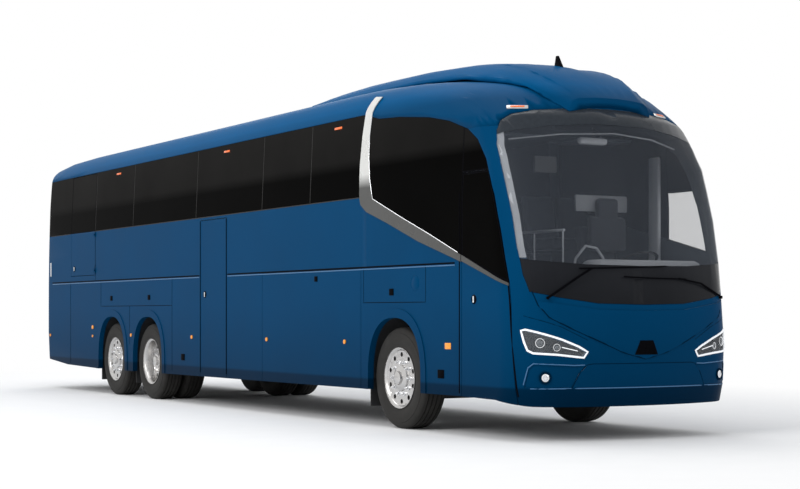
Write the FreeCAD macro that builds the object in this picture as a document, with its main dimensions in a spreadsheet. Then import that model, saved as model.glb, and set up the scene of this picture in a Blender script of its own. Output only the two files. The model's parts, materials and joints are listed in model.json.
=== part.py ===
import FreeCAD, Part
import os
import re
from math import asin, cos, pi, sin
from types import SimpleNamespace

from FreeCAD import Placement, Rotation, Vector

# Three-axle high-floor coach with its entrance on the right-hand side.
# Millimetres. Front towards -Y, right-hand side towards -X, +Z up, ground at Z = 0.
# Stations along the bus (names that end in _at) are measured rearward from the front axle.

DRIVING_SIZES = {
    # whole body
    "bus_length": 14070, "front_overhang": 2520, "half_width": 1275, "roof_height": 3660,
    "skirt_bottom": 392, "waist": 1665, "window_sill": 2420, "window_head": 3300,
    "wall": 60, "glass": 8, "panel_gap": 8, "seat_gap": 0.3, "trim": 9, "flare": 95,
    # body sections
    "nose_bow": 3900, "corner": 450, "rear_bow": 9000, "rear_corner": 280,
    "roof_bow": 7000, "roof_corner": 280, "roof_half": 1235, "tumblehome_from": 1210,
    # axles and wheels
    "drive_axle_at": 6905, "tag_axle_at": 8330,
    "tyre_radius": 522, "tyre_width": 295, "tyre_outer": 1225, "bead_radius": 292,
    "twin_spacing": 335, "rim_wall": 12, "hub_radius": 140, "spindle": 38,
    "kingpin_half": 925, "kingpin": 22, "arch_half": 545, "arch_top": 1143,
    # doors
    "front_door_front_at": -2108, "front_door_rear_at": -1303, "front_door_head": 2540,
    "middle_door_front_at": 4213, "middle_door_rear_at": 5058, "middle_door_head": 2385,
    "hold_front_at": 710, "hold_rear_at": 3182,
    "emergency_front_at": 9050, "emergency_rear_at": 10140, "emergency_sill": 1760,
    "arm_length": 550, "arm_inset": 115, "arm_post_foot": 430, "lift_arm_length": 600, "pin": 12,
    "lid_half": 930, "lid_sill": 620, "lid_head": 1720,
    # inside
    "floor_top": 1460, "floor_deck": 50, "platform_top": 1000, "saloon_front_at": -900,
    "stair_inner": 500, "hold_floor": 440, "hold_end_at": 5950, "seat_pitch": 830,
    # roof pod
    "pod_half": 770, "pod_top": 3810, "pod_rear_at": 3600,
}

doc = FreeCAD.newDocument("CoachBus")
sheet = doc.addObject("Spreadsheet::Sheet", "Sizes")
for row, (alias, value) in enumerate(DRIVING_SIZES.items(), start=1):
    sheet.set(f"A{row}", alias)
    sheet.set(f"B{row}", str(value))
    sheet.setAlias(f"B{row}", alias)
doc.recompute()

s = SimpleNamespace(**{alias: float(sheet.get(alias)) for alias in DRIVING_SIZES})
front_axle_y = s.front_overhang - s.bus_length / 2
FRONT_AXLE = "(front_overhang - bus_length / 2)"
NODES = []


def at(station):
    """Y of a station that is measured rearward from the front axle."""
    return front_axle_y + station


def bind(thing, prop, text):
    """Bind a property to an expression over the sheet's aliases."""
    known = re.sub(r"[a-z_]{3,}", lambda m: "Sizes." + m.group() if m.group() in DRIVING_SIZES else m.group(),
                   str(text))
    thing.setExpression(prop, known)


def block(label, x, y, z):
    """A Part::Box between pairs of expressions."""
    box = doc.addObject("Part::Box", label)
    box.Label = label
    for prop, side, (low, high) in (("Length", "x", x), ("Width", "y", y), ("Height", "z", z)):
        bind(box, prop, f"({high}) - ({low})")
        bind(box, f"Placement.Base.{side}", low)
    return box


def keep(thing):
    """Mark an object as a sub-part that is written out under its label."""
    NODES.append(thing)
    return thing


def feature(label, shape):
    """A sub-part whose shape is worked out with Part's own functions."""
    made = doc.addObject("Part::Feature", label)
    made.Label = label
    made.Shape = shape
    made.Placement = shape.Placement
    return keep(made)


def mirrored(shape):
    return shape.mirror(Vector(), Vector(1, 0, 0))


def round_bar(radius, length, base, along=Vector(0, 0, 1), sides=16):
    """Many-sided bar from a base point along a unit direction."""
    spin = Rotation(Vector(0, 0, 1), along)
    turns = [2 * pi * n / sides for n in range(sides)]
    corners = [base + spin.multVec(Vector(radius * cos(a), radius * sin(a), 0)) for a in turns]
    return Part.Face(Part.makePolygon(corners + corners[:1])).extrude(along * length)


def prism(points, low_x, high_x):
    """Side-view outline of (station, height) points, extruded across the bus."""
    wire = Part.makePolygon([Vector(low_x, at(a), z) for a, z in points + points[:1]])
    return Part.Face(wire).extrude(Vector(high_x - low_x, 0, 0))


def slab(x, stations, z):
    """A box between two x, two stations and two heights."""
    return Part.makeBox(x[1] - x[0], stations[1] - stations[0], z[1] - z[0], Vector(x[0], at(stations[0]), z[0]))


# Outer form of the body

NOSE = -s.front_overhang
REAR = s.bus_length - s.front_overhang
# (height, nose station, nose bow radius, nose corner radius)
NOSE_STATIONS = [
    (200, NOSE + 100, s.nose_bow, s.corner), (500, NOSE + 20, s.nose_bow, s.corner),
    (900, NOSE, s.nose_bow, s.corner), (1300, NOSE + 37, s.nose_bow, s.corner), (1700, NOSE + 80, 3800, s.corner),
    (2100, NOSE + 145, 3500, s.corner), (2400, NOSE + 210, 3000, 460), (2620, NOSE + 260, 2700, 480),
    (2830, NOSE + 350, 2200, 500), (3060, NOSE + 440, 1750, 520), (3300, NOSE + 720, 1500, 800),
    (3600, NOSE + 1170, 1350, 900), (3900, NOSE + 1620, 1300, 950)]
# (height, rear station)
TAIL = {200: REAR - 130, 500: REAR - 50, 900: REAR, 1300: REAR, 1700: REAR - 5, 2100: REAR - 20, 2400: REAR - 40,
        2620: REAR - 60, 2830: REAR - 80, 3060: REAR - 110, 3300: REAR - 150, 3600: REAR - 220, 3900: REAR - 300}
# (station, height of the roof's centre line)
TOP = s.roof_height
ROOF_LINE = [(NOSE - 130, TOP - 960), (NOSE + 220, TOP - 600), (NOSE + 470, TOP - 470), (NOSE + 770, TOP - 315),
             (NOSE + 1230, TOP - 190), (NOSE + 1990, TOP - 55), (NOSE + 2720, TOP - 10), (NOSE + 3720, TOP),
             (5000, TOP), (REAR - 2050, TOP), (REAR - 950, TOP - 20), (REAR - 350, TOP - 70), (REAR + 150, TOP - 180)]


def arc_run(centre, radius, first, last, steps):
    """Points at even steps round an arc; angles in radians from the first axis."""
    turns = [first + (last - first) * n / steps for n in range(steps + 1)]
    return [(centre[0] + radius * cos(a), centre[1] + radius * sin(a)) for a in turns]


def end_run(end_y, bow, corner, half, towards):
    """Right-hand half of one end in plan, from the side to the middle: corner arc, then bow arc."""
    corner_x = half - corner
    lean = asin(corner_x / (bow - corner))
    across = pi / 2 - lean
    reach = (bow - corner) * cos(lean)
    run = arc_run((corner_x, reach - bow), corner, 0, across, 7) + arc_run((0, -bow), bow, across, pi / 2, 7)[1:]
    return [(x, end_y + towards * y) for x, y in run]


def ring(half_run, place):
    """Closed wire of a run and its mirror image; place turns (across, other) into a point."""
    both = half_run + [(-x, v) for x, v in half_run[::-1] if abs(x) > 1e-6]
    points = [place(x, v) for x, v in both]
    return Part.makePolygon(points + points[:1])


def plan_wire(height, nose, bow, corner, inset):
    """Closed plan outline of the body at one height."""
    half = s.half_width - inset
    front = end_run(at(nose) + inset, bow - inset, corner - inset, half, -1)
    rear = end_run(at(TAIL[height]) - inset, s.rear_bow - inset, s.rear_corner - inset, half, 1)
    return ring(front[::-1] + rear, lambda x, y: Vector(x, y, height))


def section_wire(station, top, inset):
    """Closed cross-section at one station: crowned roof, round shoulders, flanks that lean out downward."""
    crown = s.roof_bow - inset
    corner = s.roof_corner - inset
    corner_x = s.roof_half - s.roof_corner
    lean = asin(corner_x / (crown - corner))
    across = pi / 2 - lean
    shoulder_z = top - s.roof_bow + (crown - corner) * cos(lean)
    lean_out = (s.half_width - s.roof_half) / (shoulder_z - (top - s.tumblehome_from))
    foot_z = 100
    foot = (corner_x + corner + lean_out * (shoulder_z - foot_z), foot_z)
    half_run = ([foot] + arc_run((corner_x, shoulder_z), corner, 0, across, 7)
                + arc_run((0, top - s.roof_bow), crown, across, pi / 2, 6)[1:])
    return ring(half_run, lambda x, z: Vector(x, at(station), z))


def hull(inset):
    """Solid outer form of the body, set in by a distance."""
    plan = Part.makeLoft([plan_wire(*row, inset) for row in NOSE_STATIONS], True, True)
    roof = Part.makeLoft([section_wire(a, top, inset) for a, top in ROOF_LINE], True, True)
    return plan.common(roof)


def above_skirt_line(shape):
    """Trim the underside: level skirts, a lower nose and a tail that rises."""
    line = [(-2700, 312), (-2250, 330), (-1900, s.skirt_bottom - 10), (-1300, s.skirt_bottom),
            (8900, s.skirt_bottom - 24), (10300, s.skirt_bottom), (11350, 470), (11900, 500)]
    return shape.cut(prism(line + [(11900, 0), (-2700, 0)], -2000, 2000))


RIGHT = (-1500, -700)
LEFT = (700, 1500)
ACROSS = (-1500, 1500)
outer = above_skirt_line(hull(0))
shell = outer.cut(hull(s.wall))
skin = outer.cut(hull(s.glass))
behind_skin = hull(s.glass + s.seat_gap)
around = hull(-s.seat_gap)
proud = above_skirt_line(hull(-s.trim))
raised = proud.cut(behind_skin)
trim = proud.cut(around)


def strip(shape, across):
    """The part of a form that lies along one side of the bus."""
    return shape.common(slab(across, (-3000, 12000), (150, 3500)))


def both_sides(shape):
    """The right-hand strip of a form, and its mirror image on the left."""
    right = strip(shape, RIGHT)
    return {RIGHT: right, LEFT: mirrored(right)}


side_shell = both_sides(shell)
side_skin = both_sides(skin)
side_raised = both_sides(raised)
side_core = both_sides(behind_skin)
side_trim = strip(trim, RIGHT)

# Side-view lines of the front quarter, (station, height)

PILLAR_LINE = [(-2188, 0), (-2108, 1300), (-2083, 1480), (-1962, 1960), (-1861, 2291), (-1776, 2483),
               (-1705, 2644), (-1547, 2841), (-1369, 2956)]
BROW_LINE = [(-1369, 2956), (-1021, 3067), (-641, 3140), (-42, 3204), (378, 3228), (700, s.window_head)]
CHROME_OUTER = [(544, 3480), (661, 3325), (717, 3076), (748, 2779), (748, 2629), (733, 2403), (711, 2342),
                (587, 2261), (134, 2120), (-494, 1908), (-1225, 1705), (-1299, 1682)]
CHROME_INNER = [(-1299, 1751), (-1264, 1764), (-713, 1969), (-156, 2164), (449, 2386), (524, 2613), (557, 2823),
                (561, 3062), (521, 3310), (388, 3462)]


def on_line(line, value, by=0):
    """Other coordinate of a polyline where its station (by=0) or its height (by=1) has a value."""
    for low, high in zip(line, line[1:]):
        if low[by] <= value <= high[by]:
            share = (value - low[by]) / (high[by] - low[by])
            return low[1 - by] + share * (high[1 - by] - low[1 - by])
    raise ValueError(value)


def pillar_at(z):
    return on_line(PILLAR_LINE, z, 1)


def shrunk(points, gap):
    """Side-view outline set in by a gap."""
    wire = Part.makePolygon([Vector(0, a, z) for a, z in points + points[:1]])
    inset = Part.Face(wire).makeOffset2D(-gap)
    return [(vertex.Y, vertex.Z) for vertex in inset.OuterWire.OrderedVertexes]


def arch_outline(axle_at, spread=0):
    """Wheel arch in side view: a squared-off round over the axle with straight legs."""
    half = s.arch_half + spread
    rise = s.arch_top - s.tyre_radius + spread
    squareness = 2 / 2.4
    steps = 22
    points = [(axle_at + half, 150)]
    for turn in (pi * n / steps for n in range(steps + 1)):
        reach = abs(cos(turn)) ** squareness * (1 if turn < pi / 2 else -1)
        points.append((axle_at + half * reach, s.tyre_radius + rise * abs(sin(turn)) ** squareness))
    return points + [(axle_at - half, 150)]


def arch_tunnel(axle_at, low_x, high_x, spread=0):
    return prism(arch_outline(axle_at, spread), low_x, high_x)


def all_arches(low_x, high_x, spread=0):
    return [arch_tunnel(a, low_x, high_x, spread) for a in (0, s.drive_axle_at, s.tag_axle_at)]


TAIL_AT = REAR - 350
HEAD = s.window_head
DOOR_HEAD = s.front_door_head
g = s.panel_gap

roof_region = ([(-3000, BROW_LINE[0][1])] + BROW_LINE + [(12500, HEAD), (12500, 4500), (-3000, 4500)])
mask_region = [(-3000, 0)] + PILLAR_LINE + [(-3000, PILLAR_LINE[-1][1])]
wall_end = BROW_LINE[1:] + [(TAIL_AT, HEAD), (TAIL_AT, s.waist)]
wall_region = ([(s.front_door_rear_at, s.waist), (s.front_door_rear_at, DOOR_HEAD), (pillar_at(DOOR_HEAD), DOOR_HEAD)]
               + PILLAR_LINE[6:] + wall_end)
left_wall_region = [(pillar_at(s.waist), s.waist)] + PILLAR_LINE[3:] + wall_end
skirt_region = [(s.front_door_rear_at, 0), (s.front_door_rear_at, s.waist), (TAIL_AT, s.waist), (TAIL_AT, 0)]
left_skirt_region = PILLAR_LINE[:3] + [(pillar_at(s.waist), s.waist), (TAIL_AT, s.waist), (TAIL_AT, 0)]
tail_region = [(TAIL_AT, 0), (TAIL_AT, HEAD), (12500, HEAD), (12500, 0)]

PANES = [(700, 1914), (1914, 3182), (3182, 5189), (5189, 7464), (7464, s.emergency_front_at)]
REAR_PANE = (s.emergency_rear_at, TAIL_AT)
PANE_EDGE = 55


def pane_outline(stations, edge=4.0):
    a, b = stations[0] + edge, stations[1] - edge
    return [(a, s.window_sill + edge), (a, s.window_head - edge), (b, s.window_head - edge), (b, s.window_sill + edge)]


pane_rear = [(620, on_line(BROW_LINE, 620)), (620, 3076), (640, 2779), (620, 2450), (500, 2330)]
pane_front_at = s.front_door_rear_at + 4
front_pane = ([(pane_front_at, 1720), (pane_front_at, on_line(BROW_LINE, pane_front_at))] + BROW_LINE[1:5]
              + pane_rear)
above_door = s.front_door_head + g
door_top_pane = ([(s.front_door_rear_at - 4, above_door), (s.front_door_rear_at - 4, on_line(BROW_LINE, -1307))]
                 + PILLAR_LINE[:5:-1] + [(pillar_at(above_door), above_door)])
left_front_pane = [(pillar_at(1720), 1720)] + PILLAR_LINE[3:] + BROW_LINE[1:5] + pane_rear


def nose_prism(points):
    """Front-view outline of (x, height) points, extruded rearward through the nose."""
    wire = Part.makePolygon([Vector(x, at(NOSE - 380), z) for x, z in points + points[:1]])
    return Part.Face(wire).extrude(Vector(0, 1700, 0))


def mirror_run(half):
    """Closed front-view outline from its left-hand half, which starts and ends at the middle."""
    return half + [(-x, z) for x, z in half[::-1] if x > 0]


SCREEN_HALF = [(0, 1270), (500, 1280), (900, 1335), (1130, 1385), (1165, 1540), (1187, 1800), (1200, 2300),
               (1205, 2600), (1190, 2770), (1155, 2910), (1100, 3010), (1000, 3070), (800, 3112), (400, 3138), (0, 3145)]


def windscreen_block(grow=0.0):
    outline = mirror_run(SCREEN_HALF)
    return nose_prism(shrunk(outline, -grow) if grow else outline)


def panes_in(outlines, across):
    """Glass panes cut from the outermost skin of one side."""
    return side_skin[across].common(Part.makeCompound([prism(outline, *across) for outline in outlines]))


def window_cuts(outlines, across):
    """Seats for the panes in the outside of the wall, and the window holes behind them."""
    seats = Part.makeCompound([prism(outline, *across) for outline in outlines]).cut(side_core[across])
    return [seats] + [prism(shrunk(outline, PANE_EDGE), *across) for outline in outlines]


right_outlines = [pane_outline(p) for p in PANES + [REAR_PANE]]
right_panes = right_outlines + [shrunk(front_pane, 4), shrunk(door_top_pane, 4)]
left_panes = [pane_outline(p) for p in PANES + [(s.emergency_front_at, s.emergency_rear_at), REAR_PANE]]
left_panes += [shrunk(left_front_pane, 4)]

front_doorway = ([(s.front_door_rear_at, 0), (s.front_door_rear_at, DOOR_HEAD), (pillar_at(DOOR_HEAD), DOOR_HEAD)]
                 + PILLAR_LINE[5::-1])
middle_doorway = [(s.middle_door_front_at, 0), (s.middle_door_front_at, s.middle_door_head),
                  (s.middle_door_rear_at, s.middle_door_head), (s.middle_door_rear_at, 0)]
hold_doorway = [(s.hold_front_at, 0), (s.hold_front_at, s.waist), (s.hold_rear_at, s.waist),
                (s.hold_rear_at, 0)]
emergency_doorway = [(s.emergency_front_at, s.emergency_sill), (s.emergency_front_at, s.window_head - 2),
                     (s.emergency_rear_at, s.window_head - 2), (s.emergency_rear_at, s.emergency_sill)]


def door_panel(doorway, across):
    """Leaf cut from the shell, a panel gap smaller than its doorway."""
    return side_shell[across].common(prism(shrunk(doorway, g), *across))


def make_roof():
    feature("roof", shell.common(prism(roof_region, *ACROSS)).cut(windscreen_block(4)))


def make_side_walls():
    doorways = [prism(d, *RIGHT) for d in (middle_doorway, emergency_doorway)]
    wall = side_shell[RIGHT].common(prism(wall_region, *RIGHT))
    wall = wall.cut(window_cuts(right_panes, RIGHT) + doorways)
    feature("side_wall_right", wall.fuse(emergency_hinges()[0]))
    wall = side_shell[LEFT].common(prism(left_wall_region, *LEFT))
    feature("side_wall_left", wall.cut(window_cuts(left_panes, LEFT)))


def flares(across):
    """Raised lips around the wheel arches of one side."""
    return side_raised[across].common(Part.makeCompound(all_arches(*across, s.flare)))


def make_skirts():
    openings = [prism(d, *RIGHT) for d in (middle_doorway, hold_doorway)]
    skirt = side_shell[RIGHT].common(prism(skirt_region, *RIGHT))
    feature("skirt_right", skirt.fuse(flares(RIGHT)).cut(all_arches(*RIGHT) + openings))
    skirt = side_shell[LEFT].common(prism(left_skirt_region, *LEFT))
    feature("skirt_left", skirt.fuse(flares(LEFT)).cut(all_arches(*LEFT) + [prism(hold_doorway, *LEFT)]))


# Nose: bonnet, lamps and bumper pockets, each as its left-hand half in front view

BONNET_HALF = [(0, 762), (251, 822), (530, 935), (815, 1060), (1000, 1153), (1070, 1240), (1085, 1300), (900, 1275),
               (500, 1222), (0, 1212)]
LAMP_OUTLINE = [(1199, 1029), (1173, 1038), (892, 948), (723, 880), (635, 833), (673, 779), (923, 808), (1126, 822),
                (1164, 848), (1185, 928)]
POCKET_OUTLINE = [(1178, 506), (1154, 674), (1120, 715), (758, 697), (640, 700), (712, 632), (781, 495)]
PROJECTORS = [(Vector(1077, at(-2342), 916), 46), (Vector(936, at(-2407), 875), 42)]
FOG_LAMP = Vector(1030, at(-2361), 597)
INWARD = Vector(-0.515, 0.857, 0).normalize()
LAMP_EDGE = 12


def both(shape):
    return [shape, mirrored(shape)]


def make_front_mask():
    mask = shell.common(prism(mask_region, *ACROSS))
    mask = mask.fuse(raised.common(nose_prism(mirror_run(BONNET_HALF))))
    pockets = [windscreen_block(4)] + both(nose_prism(LAMP_OUTLINE)) + both(nose_prism(POCKET_OUTLINE))
    seats = Part.makeCompound(pockets).cut(behind_skin)
    holes = [windscreen_block(-45)] + both(nose_prism(shrunk(LAMP_OUTLINE, LAMP_EDGE)))
    fog = both(round_bar(58, 82, FOG_LAMP - INWARD * 60, INWARD, 24))
    feature("front_mask", mask.cut([seats] + holes + fog))


def make_head_lamps():
    """Lenses flush with the nose, and behind them a bed with two projectors a side."""
    lens = skin.common(nose_prism(LAMP_OUTLINE))
    fog = round_bar(37, 14, FOG_LAMP + INWARD * (22 - s.seat_gap - 14), INWARD, 20)
    feature("head_lamps", Part.makeCompound(both(lens) + both(fog)))
    bed = shell.common(nose_prism(shrunk(LAMP_OUTLINE, LAMP_EDGE + s.seat_gap)))
    bed.translate(Vector(0, 34, 0))
    projectors = [round_bar(radius, 60, centre + INWARD * 18, INWARD, 20) for centre, radius in PROJECTORS]
    room = behind_skin.common(prism(mask_region, *ACROSS))
    feature("head_lamp_units", Part.makeCompound(both(bed.fuse(projectors).common(room))))


def make_rear_wall():
    lid_hole = slab((-s.lid_half, s.lid_half), (TAIL_AT, 12500), (s.lid_sill, s.lid_head))
    wall = shell.common(prism(tail_region, *ACROSS))
    seats = Part.makeCompound([rear_window_block(0)] + both(tail_lamp_block())).cut(behind_skin)
    wall = wall.cut([lid_hole, rear_window_block(PANE_EDGE), seats])
    feature("rear_wall", wall.fuse(lid_hinges()[0]))


def rear_window_block(edge):
    half = 980 - edge
    return slab((-half, half), (TAIL_AT + 100, 12500), (2450 + edge, 3180 - edge))


def tail_lamp_block():
    return slab((s.lid_half + 90, s.lid_half + 230), (TAIL_AT + 100, 12500), (880, 1500))


def make_tail_lamps():
    feature("tail_lamps", Part.makeCompound(both(skin.common(tail_lamp_block()))))


def make_glass():
    feature("windscreen", skin.common(windscreen_block()))
    feature("windows_right", panes_in(right_panes, RIGHT))
    feature("windows_left", panes_in(left_panes, LEFT))
    feature("rear_window", skin.common(rear_window_block(4)))


def pod_section(station, half, top):
    """Cross-section of the roof pod with round shoulders and a crown."""
    corner = 120
    shoulder = arc_run((half - corner, top - corner), corner, 0, pi / 2, 4)
    crown = [(x * (half - corner), top + 0.04 * half * (1 - x * x)) for x in (0.6, 0.3, 0)]
    return ring([(half, 3000)] + shoulder + crown, lambda x, z: Vector(x, at(station), z))


def make_roof_pod():
    """Raised front dome that runs back into the air-conditioning pod, with an aerial fin."""
    top, half, rear = s.pod_top, s.pod_half, s.pod_rear_at
    stations = [(-1960, half - 290, top - 570), (-1700, half - 150, top - 380), (-1350, half - 60, top - 220),
                (-900, half - 15, top - 110), (-300, half, top - 55), (600, half, top - 31),
                (rear - 1300, half - 10, top - 31), (rear - 700, half - 20, top - 70), (rear, half - 50, top - 225)]
    form = Part.makeLoft([pod_section(*row) for row in stations], True, True)
    fin = prism([(-1190, top - 160), (-1050, top - 120), (-1075, top - 25), (-1105, top - 25)], -9, 9)
    feature("roof_pod", form.fuse(fin).cut(around))


def make_chrome():
    """Bright band that climbs from the entrance over the first side window to the roof."""
    band = side_trim.common(prism(CHROME_OUTER + CHROME_INNER, *RIGHT))
    feature("chrome_bands", Part.makeCompound(both(band)))
    rear = s.front_door_rear_at - g
    strip_line = [(rear, 1749), (rear, 1689), (pillar_at(1442) + g, 1442), (pillar_at(1468) + g, 1468)]
    feature("front_door_chrome", side_trim.common(prism(strip_line, *RIGHT)))


# (station, height, radius)
MARKERS = [(5322, 880, 24), (7530, 880, 24), (9138, 983, 30), (9138, 848, 20), (11150, 840, 22)]


def make_marker_lamps():
    discs = [round_bar(radius, 12, Vector(s.half_width + s.seat_gap, at(station), z), Vector(1, 0, 0))
             for station, z, radius in MARKERS]
    feature("marker_lamps", Part.makeCompound(both(Part.makeCompound(discs))))


def bar(start, end, size):
    """Square bar between two points."""
    along = end - start
    piece = Part.makeBox(size, size, along.Length, Vector(-size / 2, -size / 2, 0))
    piece.Placement = Placement(start, Rotation(Vector(0, 0, 1), along))
    return piece


WIPER_PROUD = 28


def wiper(pivot, inward, arm, blade):
    """Spindle on the nose, arm and blade; arm and blade run through (x, station, height) points."""
    points = [[Vector(x, at(a) - WIPER_PROUD, z + 5) for x, a, z in run] for run in (arm, blade)]
    base = pivot - inward * 30
    pieces = [round_bar(15, 45, base, inward, 12)]
    for run, size in ((([base + inward * 6] + points[0]), 16), (points[1], 13)):
        pieces += [bar(p, q, size) for p, q in zip(run, run[1:])]
    return pieces[0].fuse(pieces[1:]).cut(around)


def make_wipers():
    near = wiper(Vector(-998, at(-2345), 1328), Vector(0.5, 0.866, 0).normalize(), [(-679, -2398, 1535), (-566, -2412, 1599)],
                 [(-692, -2389, 1596), (-256, -2442, 1608), (276, -2439, 1627)])
    far = wiper(Vector(1069, at(-2306), 1345), Vector(-0.6, 0.8, 0), [(738, -2394, 1471), (440, -2432, 1512)],
                [(529, -2425, 1509), (41, -2461, 1514), (-226, -2453, 1523)])
    feature("wipers", Part.makeCompound([near, far]))


# Doors, lids and the arms that carry them

def arm_eye(x, station, z, height=40):
    """Round eye with a hole that runs on a pin."""
    ring = Part.makeCylinder(26, height, Vector(x, at(station), z - height / 2))
    return ring.cut(Part.makeCylinder(s.pin + s.seat_gap, height, Vector(x, at(station), z - height / 2)))


ARM_HEIGHTS = (760, 1330)
ARM_X = s.half_width - s.arm_inset


def door_arm(label, post_at):
    """Upright post with two swinging arms that run rearward to the door's pins."""
    x = -ARM_X
    post = Part.makeCylinder(24, 1120, Vector(x, at(post_at), s.arm_post_foot))
    pieces = []
    for z in ARM_HEIGHTS:
        bar = slab((x - 14, x + 14), (post_at, post_at + s.arm_length - 20), (z - 14, z + 14))
        pieces += [bar.cut(Part.makeCylinder(20, 60, Vector(x, at(post_at + s.arm_length), z - 30))),
                   arm_eye(x, post_at + s.arm_length, z)]
    feature(label, post.fuse(pieces).removeSplitter())


def door_brackets(post_at):
    """Lugs and pins on the inside of a leaf, one under each arm's eye."""
    x = -ARM_X
    pin_at = post_at + s.arm_length
    pieces = []
    for z in ARM_HEIGHTS:
        lug = slab((-s.half_width + s.wall - 20, x + 20), (pin_at - 20, pin_at + 20), (z - 44, z - 20 - s.seat_gap))
        pieces += [lug, Part.makeCylinder(s.pin, 64, Vector(x, at(pin_at), z - 40))]
    return pieces


HINGE_BARREL = 8
HINGE_PIN = 4.5


def hinge_half(way, depth, low, high):
    """Strap and barrel of an outside hinge; way is 1 for the leaf and -1 for the wall that carries it."""
    length = high - low
    barrel = Part.makeCylinder(HINGE_BARREL, length, Vector(0, 0, low))
    neck = Part.makeBox(10, 8, length, Vector(-5, min(0, way * 8), low))
    strap = Part.makeBox(depth + 5, 32, length, Vector(-5, 6 if way > 0 else -38, low))
    return barrel.fuse([neck, strap])


def outside_hinge(centre, depth, turn=Rotation()):
    """Fixed half with its pin, and moving half; unturned, the axis is upright and the panel lies towards +X."""
    pin = Part.makeCylinder(HINGE_PIN, 60, Vector(0, 0, -30))
    fixed = pin.fuse([hinge_half(-1, depth, -30, -10 - s.seat_gap), hinge_half(-1, depth, 10 + s.seat_gap, 30)])
    moving = hinge_half(1, depth, -10, 10).cut(Part.makeCylinder(HINGE_PIN + s.seat_gap, 60, Vector(0, 0, -30)))
    for half in (fixed, moving):
        half.Placement = Placement(centre, turn)
    return fixed, moving


def emergency_hinges():
    x = -s.half_width - 13
    line = s.emergency_front_at + g / 2
    pairs = [outside_hinge(Vector(x, at(line), z), 33) for z in (s.emergency_sill + 75, s.window_sill - 50)]
    return [fixed for fixed, _ in pairs], [moving for _, moving in pairs]


def lid_hinges():
    turn = Rotation(Vector(0, -1, 0), Vector(0, 0, -1), Vector(1, 0, 0))
    back = at(TAIL_AT + 345) + 6
    pairs = [outside_hinge(Vector(x, back, s.lid_head - g / 2), 40, turn) for x in (-500, 500)]
    return [fixed for fixed, _ in pairs], [moving for _, moving in pairs]


FRONT_POST_AT = -1900
MIDDLE_POST_AT = s.middle_door_front_at + 180
door_glass_head = DOOR_HEAD - 3 * g
DOOR_PANE = ([(s.front_door_rear_at - 22, 1755), (s.front_door_rear_at - 22, door_glass_head),
              (pillar_at(door_glass_head) + 3 * g, door_glass_head)] + [(a + 3 * g, z) for a, z in PILLAR_LINE[5:2:-1]]
             + [(pillar_at(1500) + 3 * g, 1500)])


def make_doors():
    leaf = door_panel(front_doorway, RIGHT)
    leaf = leaf.cut(window_cuts([DOOR_PANE], RIGHT))
    feature("front_door", leaf.fuse(door_brackets(FRONT_POST_AT)))
    feature("front_door_glass", panes_in([shrunk(DOOR_PANE, 1)], RIGHT))
    door_arm("front_door_arm", FRONT_POST_AT)
    leaf = door_panel(middle_doorway, RIGHT)
    feature("middle_door", leaf.fuse(door_brackets(MIDDLE_POST_AT)))
    door_arm("middle_door_arm", MIDDLE_POST_AT)
    pane = [(s.emergency_front_at + 12, s.window_sill), (s.emergency_front_at + 12, s.window_head - 14),
            (s.emergency_rear_at - 12, s.window_head - 14), (s.emergency_rear_at - 12, s.window_sill)]
    leaf = door_panel(emergency_doorway, RIGHT)
    feature("emergency_door", leaf.cut(window_cuts([pane], RIGHT)).fuse(emergency_hinges()[1]))
    feature("emergency_door_glass", panes_in([shrunk(pane, 1)], RIGHT))


lining = hull(s.wall + s.seat_gap)
LIFT_PIVOT = (s.half_width - s.arm_inset, 1350)


def lift_arms(side):
    """Two drop arms on a cross shaft that carry a luggage door; side is -1 on the right."""
    x, z = side * LIFT_PIVOT[0], LIFT_PIVOT[1]
    front, rear = s.hold_front_at + 70, s.hold_rear_at - 70
    turn = Vector(0, 1, 0)
    length = s.hold_rear_at - s.hold_front_at + 2 * (g - s.seat_gap)
    shaft = Part.makeCylinder(18, length, Vector(x, at(s.hold_front_at - g + s.seat_gap), z), turn)
    low = z - s.lift_arm_length
    pieces = []
    for a in (front, rear):
        bar = slab((x - 14, x + 14), (a - 10, a + 10), (low + 20, z))
        eye = Part.makeCylinder(26, 20, Vector(x, at(a - 10), low), turn)
        hole = Part.makeCylinder(s.pin + s.seat_gap, 20, Vector(x, at(a - 10), low), turn)
        pieces.append(bar.fuse(eye).cut(hole))
    return shaft.fuse(pieces).removeSplitter()


def hold_leaf(side):
    leaf = door_panel(hold_doorway, RIGHT if side < 0 else LEFT)
    x, low = LIFT_PIVOT[0], LIFT_PIVOT[1] - s.lift_arm_length
    pieces = []
    for a, way in ((s.hold_front_at + 70, 1), (s.hold_rear_at - 70, -1)):
        near, far = sorted((a + way * (10 + s.seat_gap), a + way * 34))
        inside = s.half_width - s.wall + 20
        lug_x = sorted((side * inside, side * (x - 20)))
        lug = slab(lug_x, (near, far), (low - 22, low + 22)).common(lining)
        pin_start = a - 10 if way > 0 else a - 34
        pin = Part.makeCylinder(s.pin, 44, Vector(side * x, at(pin_start), low), Vector(0, 1, 0))
        pieces.append(lug.fuse(pin))
    markers = []
    for a in (1074, 3043):
        markers.append(round_bar(24, 12, Vector(side * (s.half_width + s.seat_gap), at(a), 880), Vector(side, 0, 0)))
    return Part.makeCompound([leaf] + pieces + markers)


def make_hold_doors():
    for side, name in ((-1, "right"), (1, "left")):
        feature(f"hold_door_{name}", hold_leaf(side))
        feature(f"hold_door_{name}_arm", lift_arms(side))


def make_engine_lid():
    lid = slab((g - s.lid_half, s.lid_half - g), (TAIL_AT + 100, 12500), (s.lid_sill + g, s.lid_head - g))
    slots = [slab((-620, 620), (TAIL_AT + 100, 12500), (z, z + 26)) for z in range(760, 1300, 60)]
    feature("engine_lid", shell.common(lid).cut(slots).fuse(lid_hinges()[1]))


# Wheels

ROUND_STEPS = 32
HAND_HOLES = 10


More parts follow.
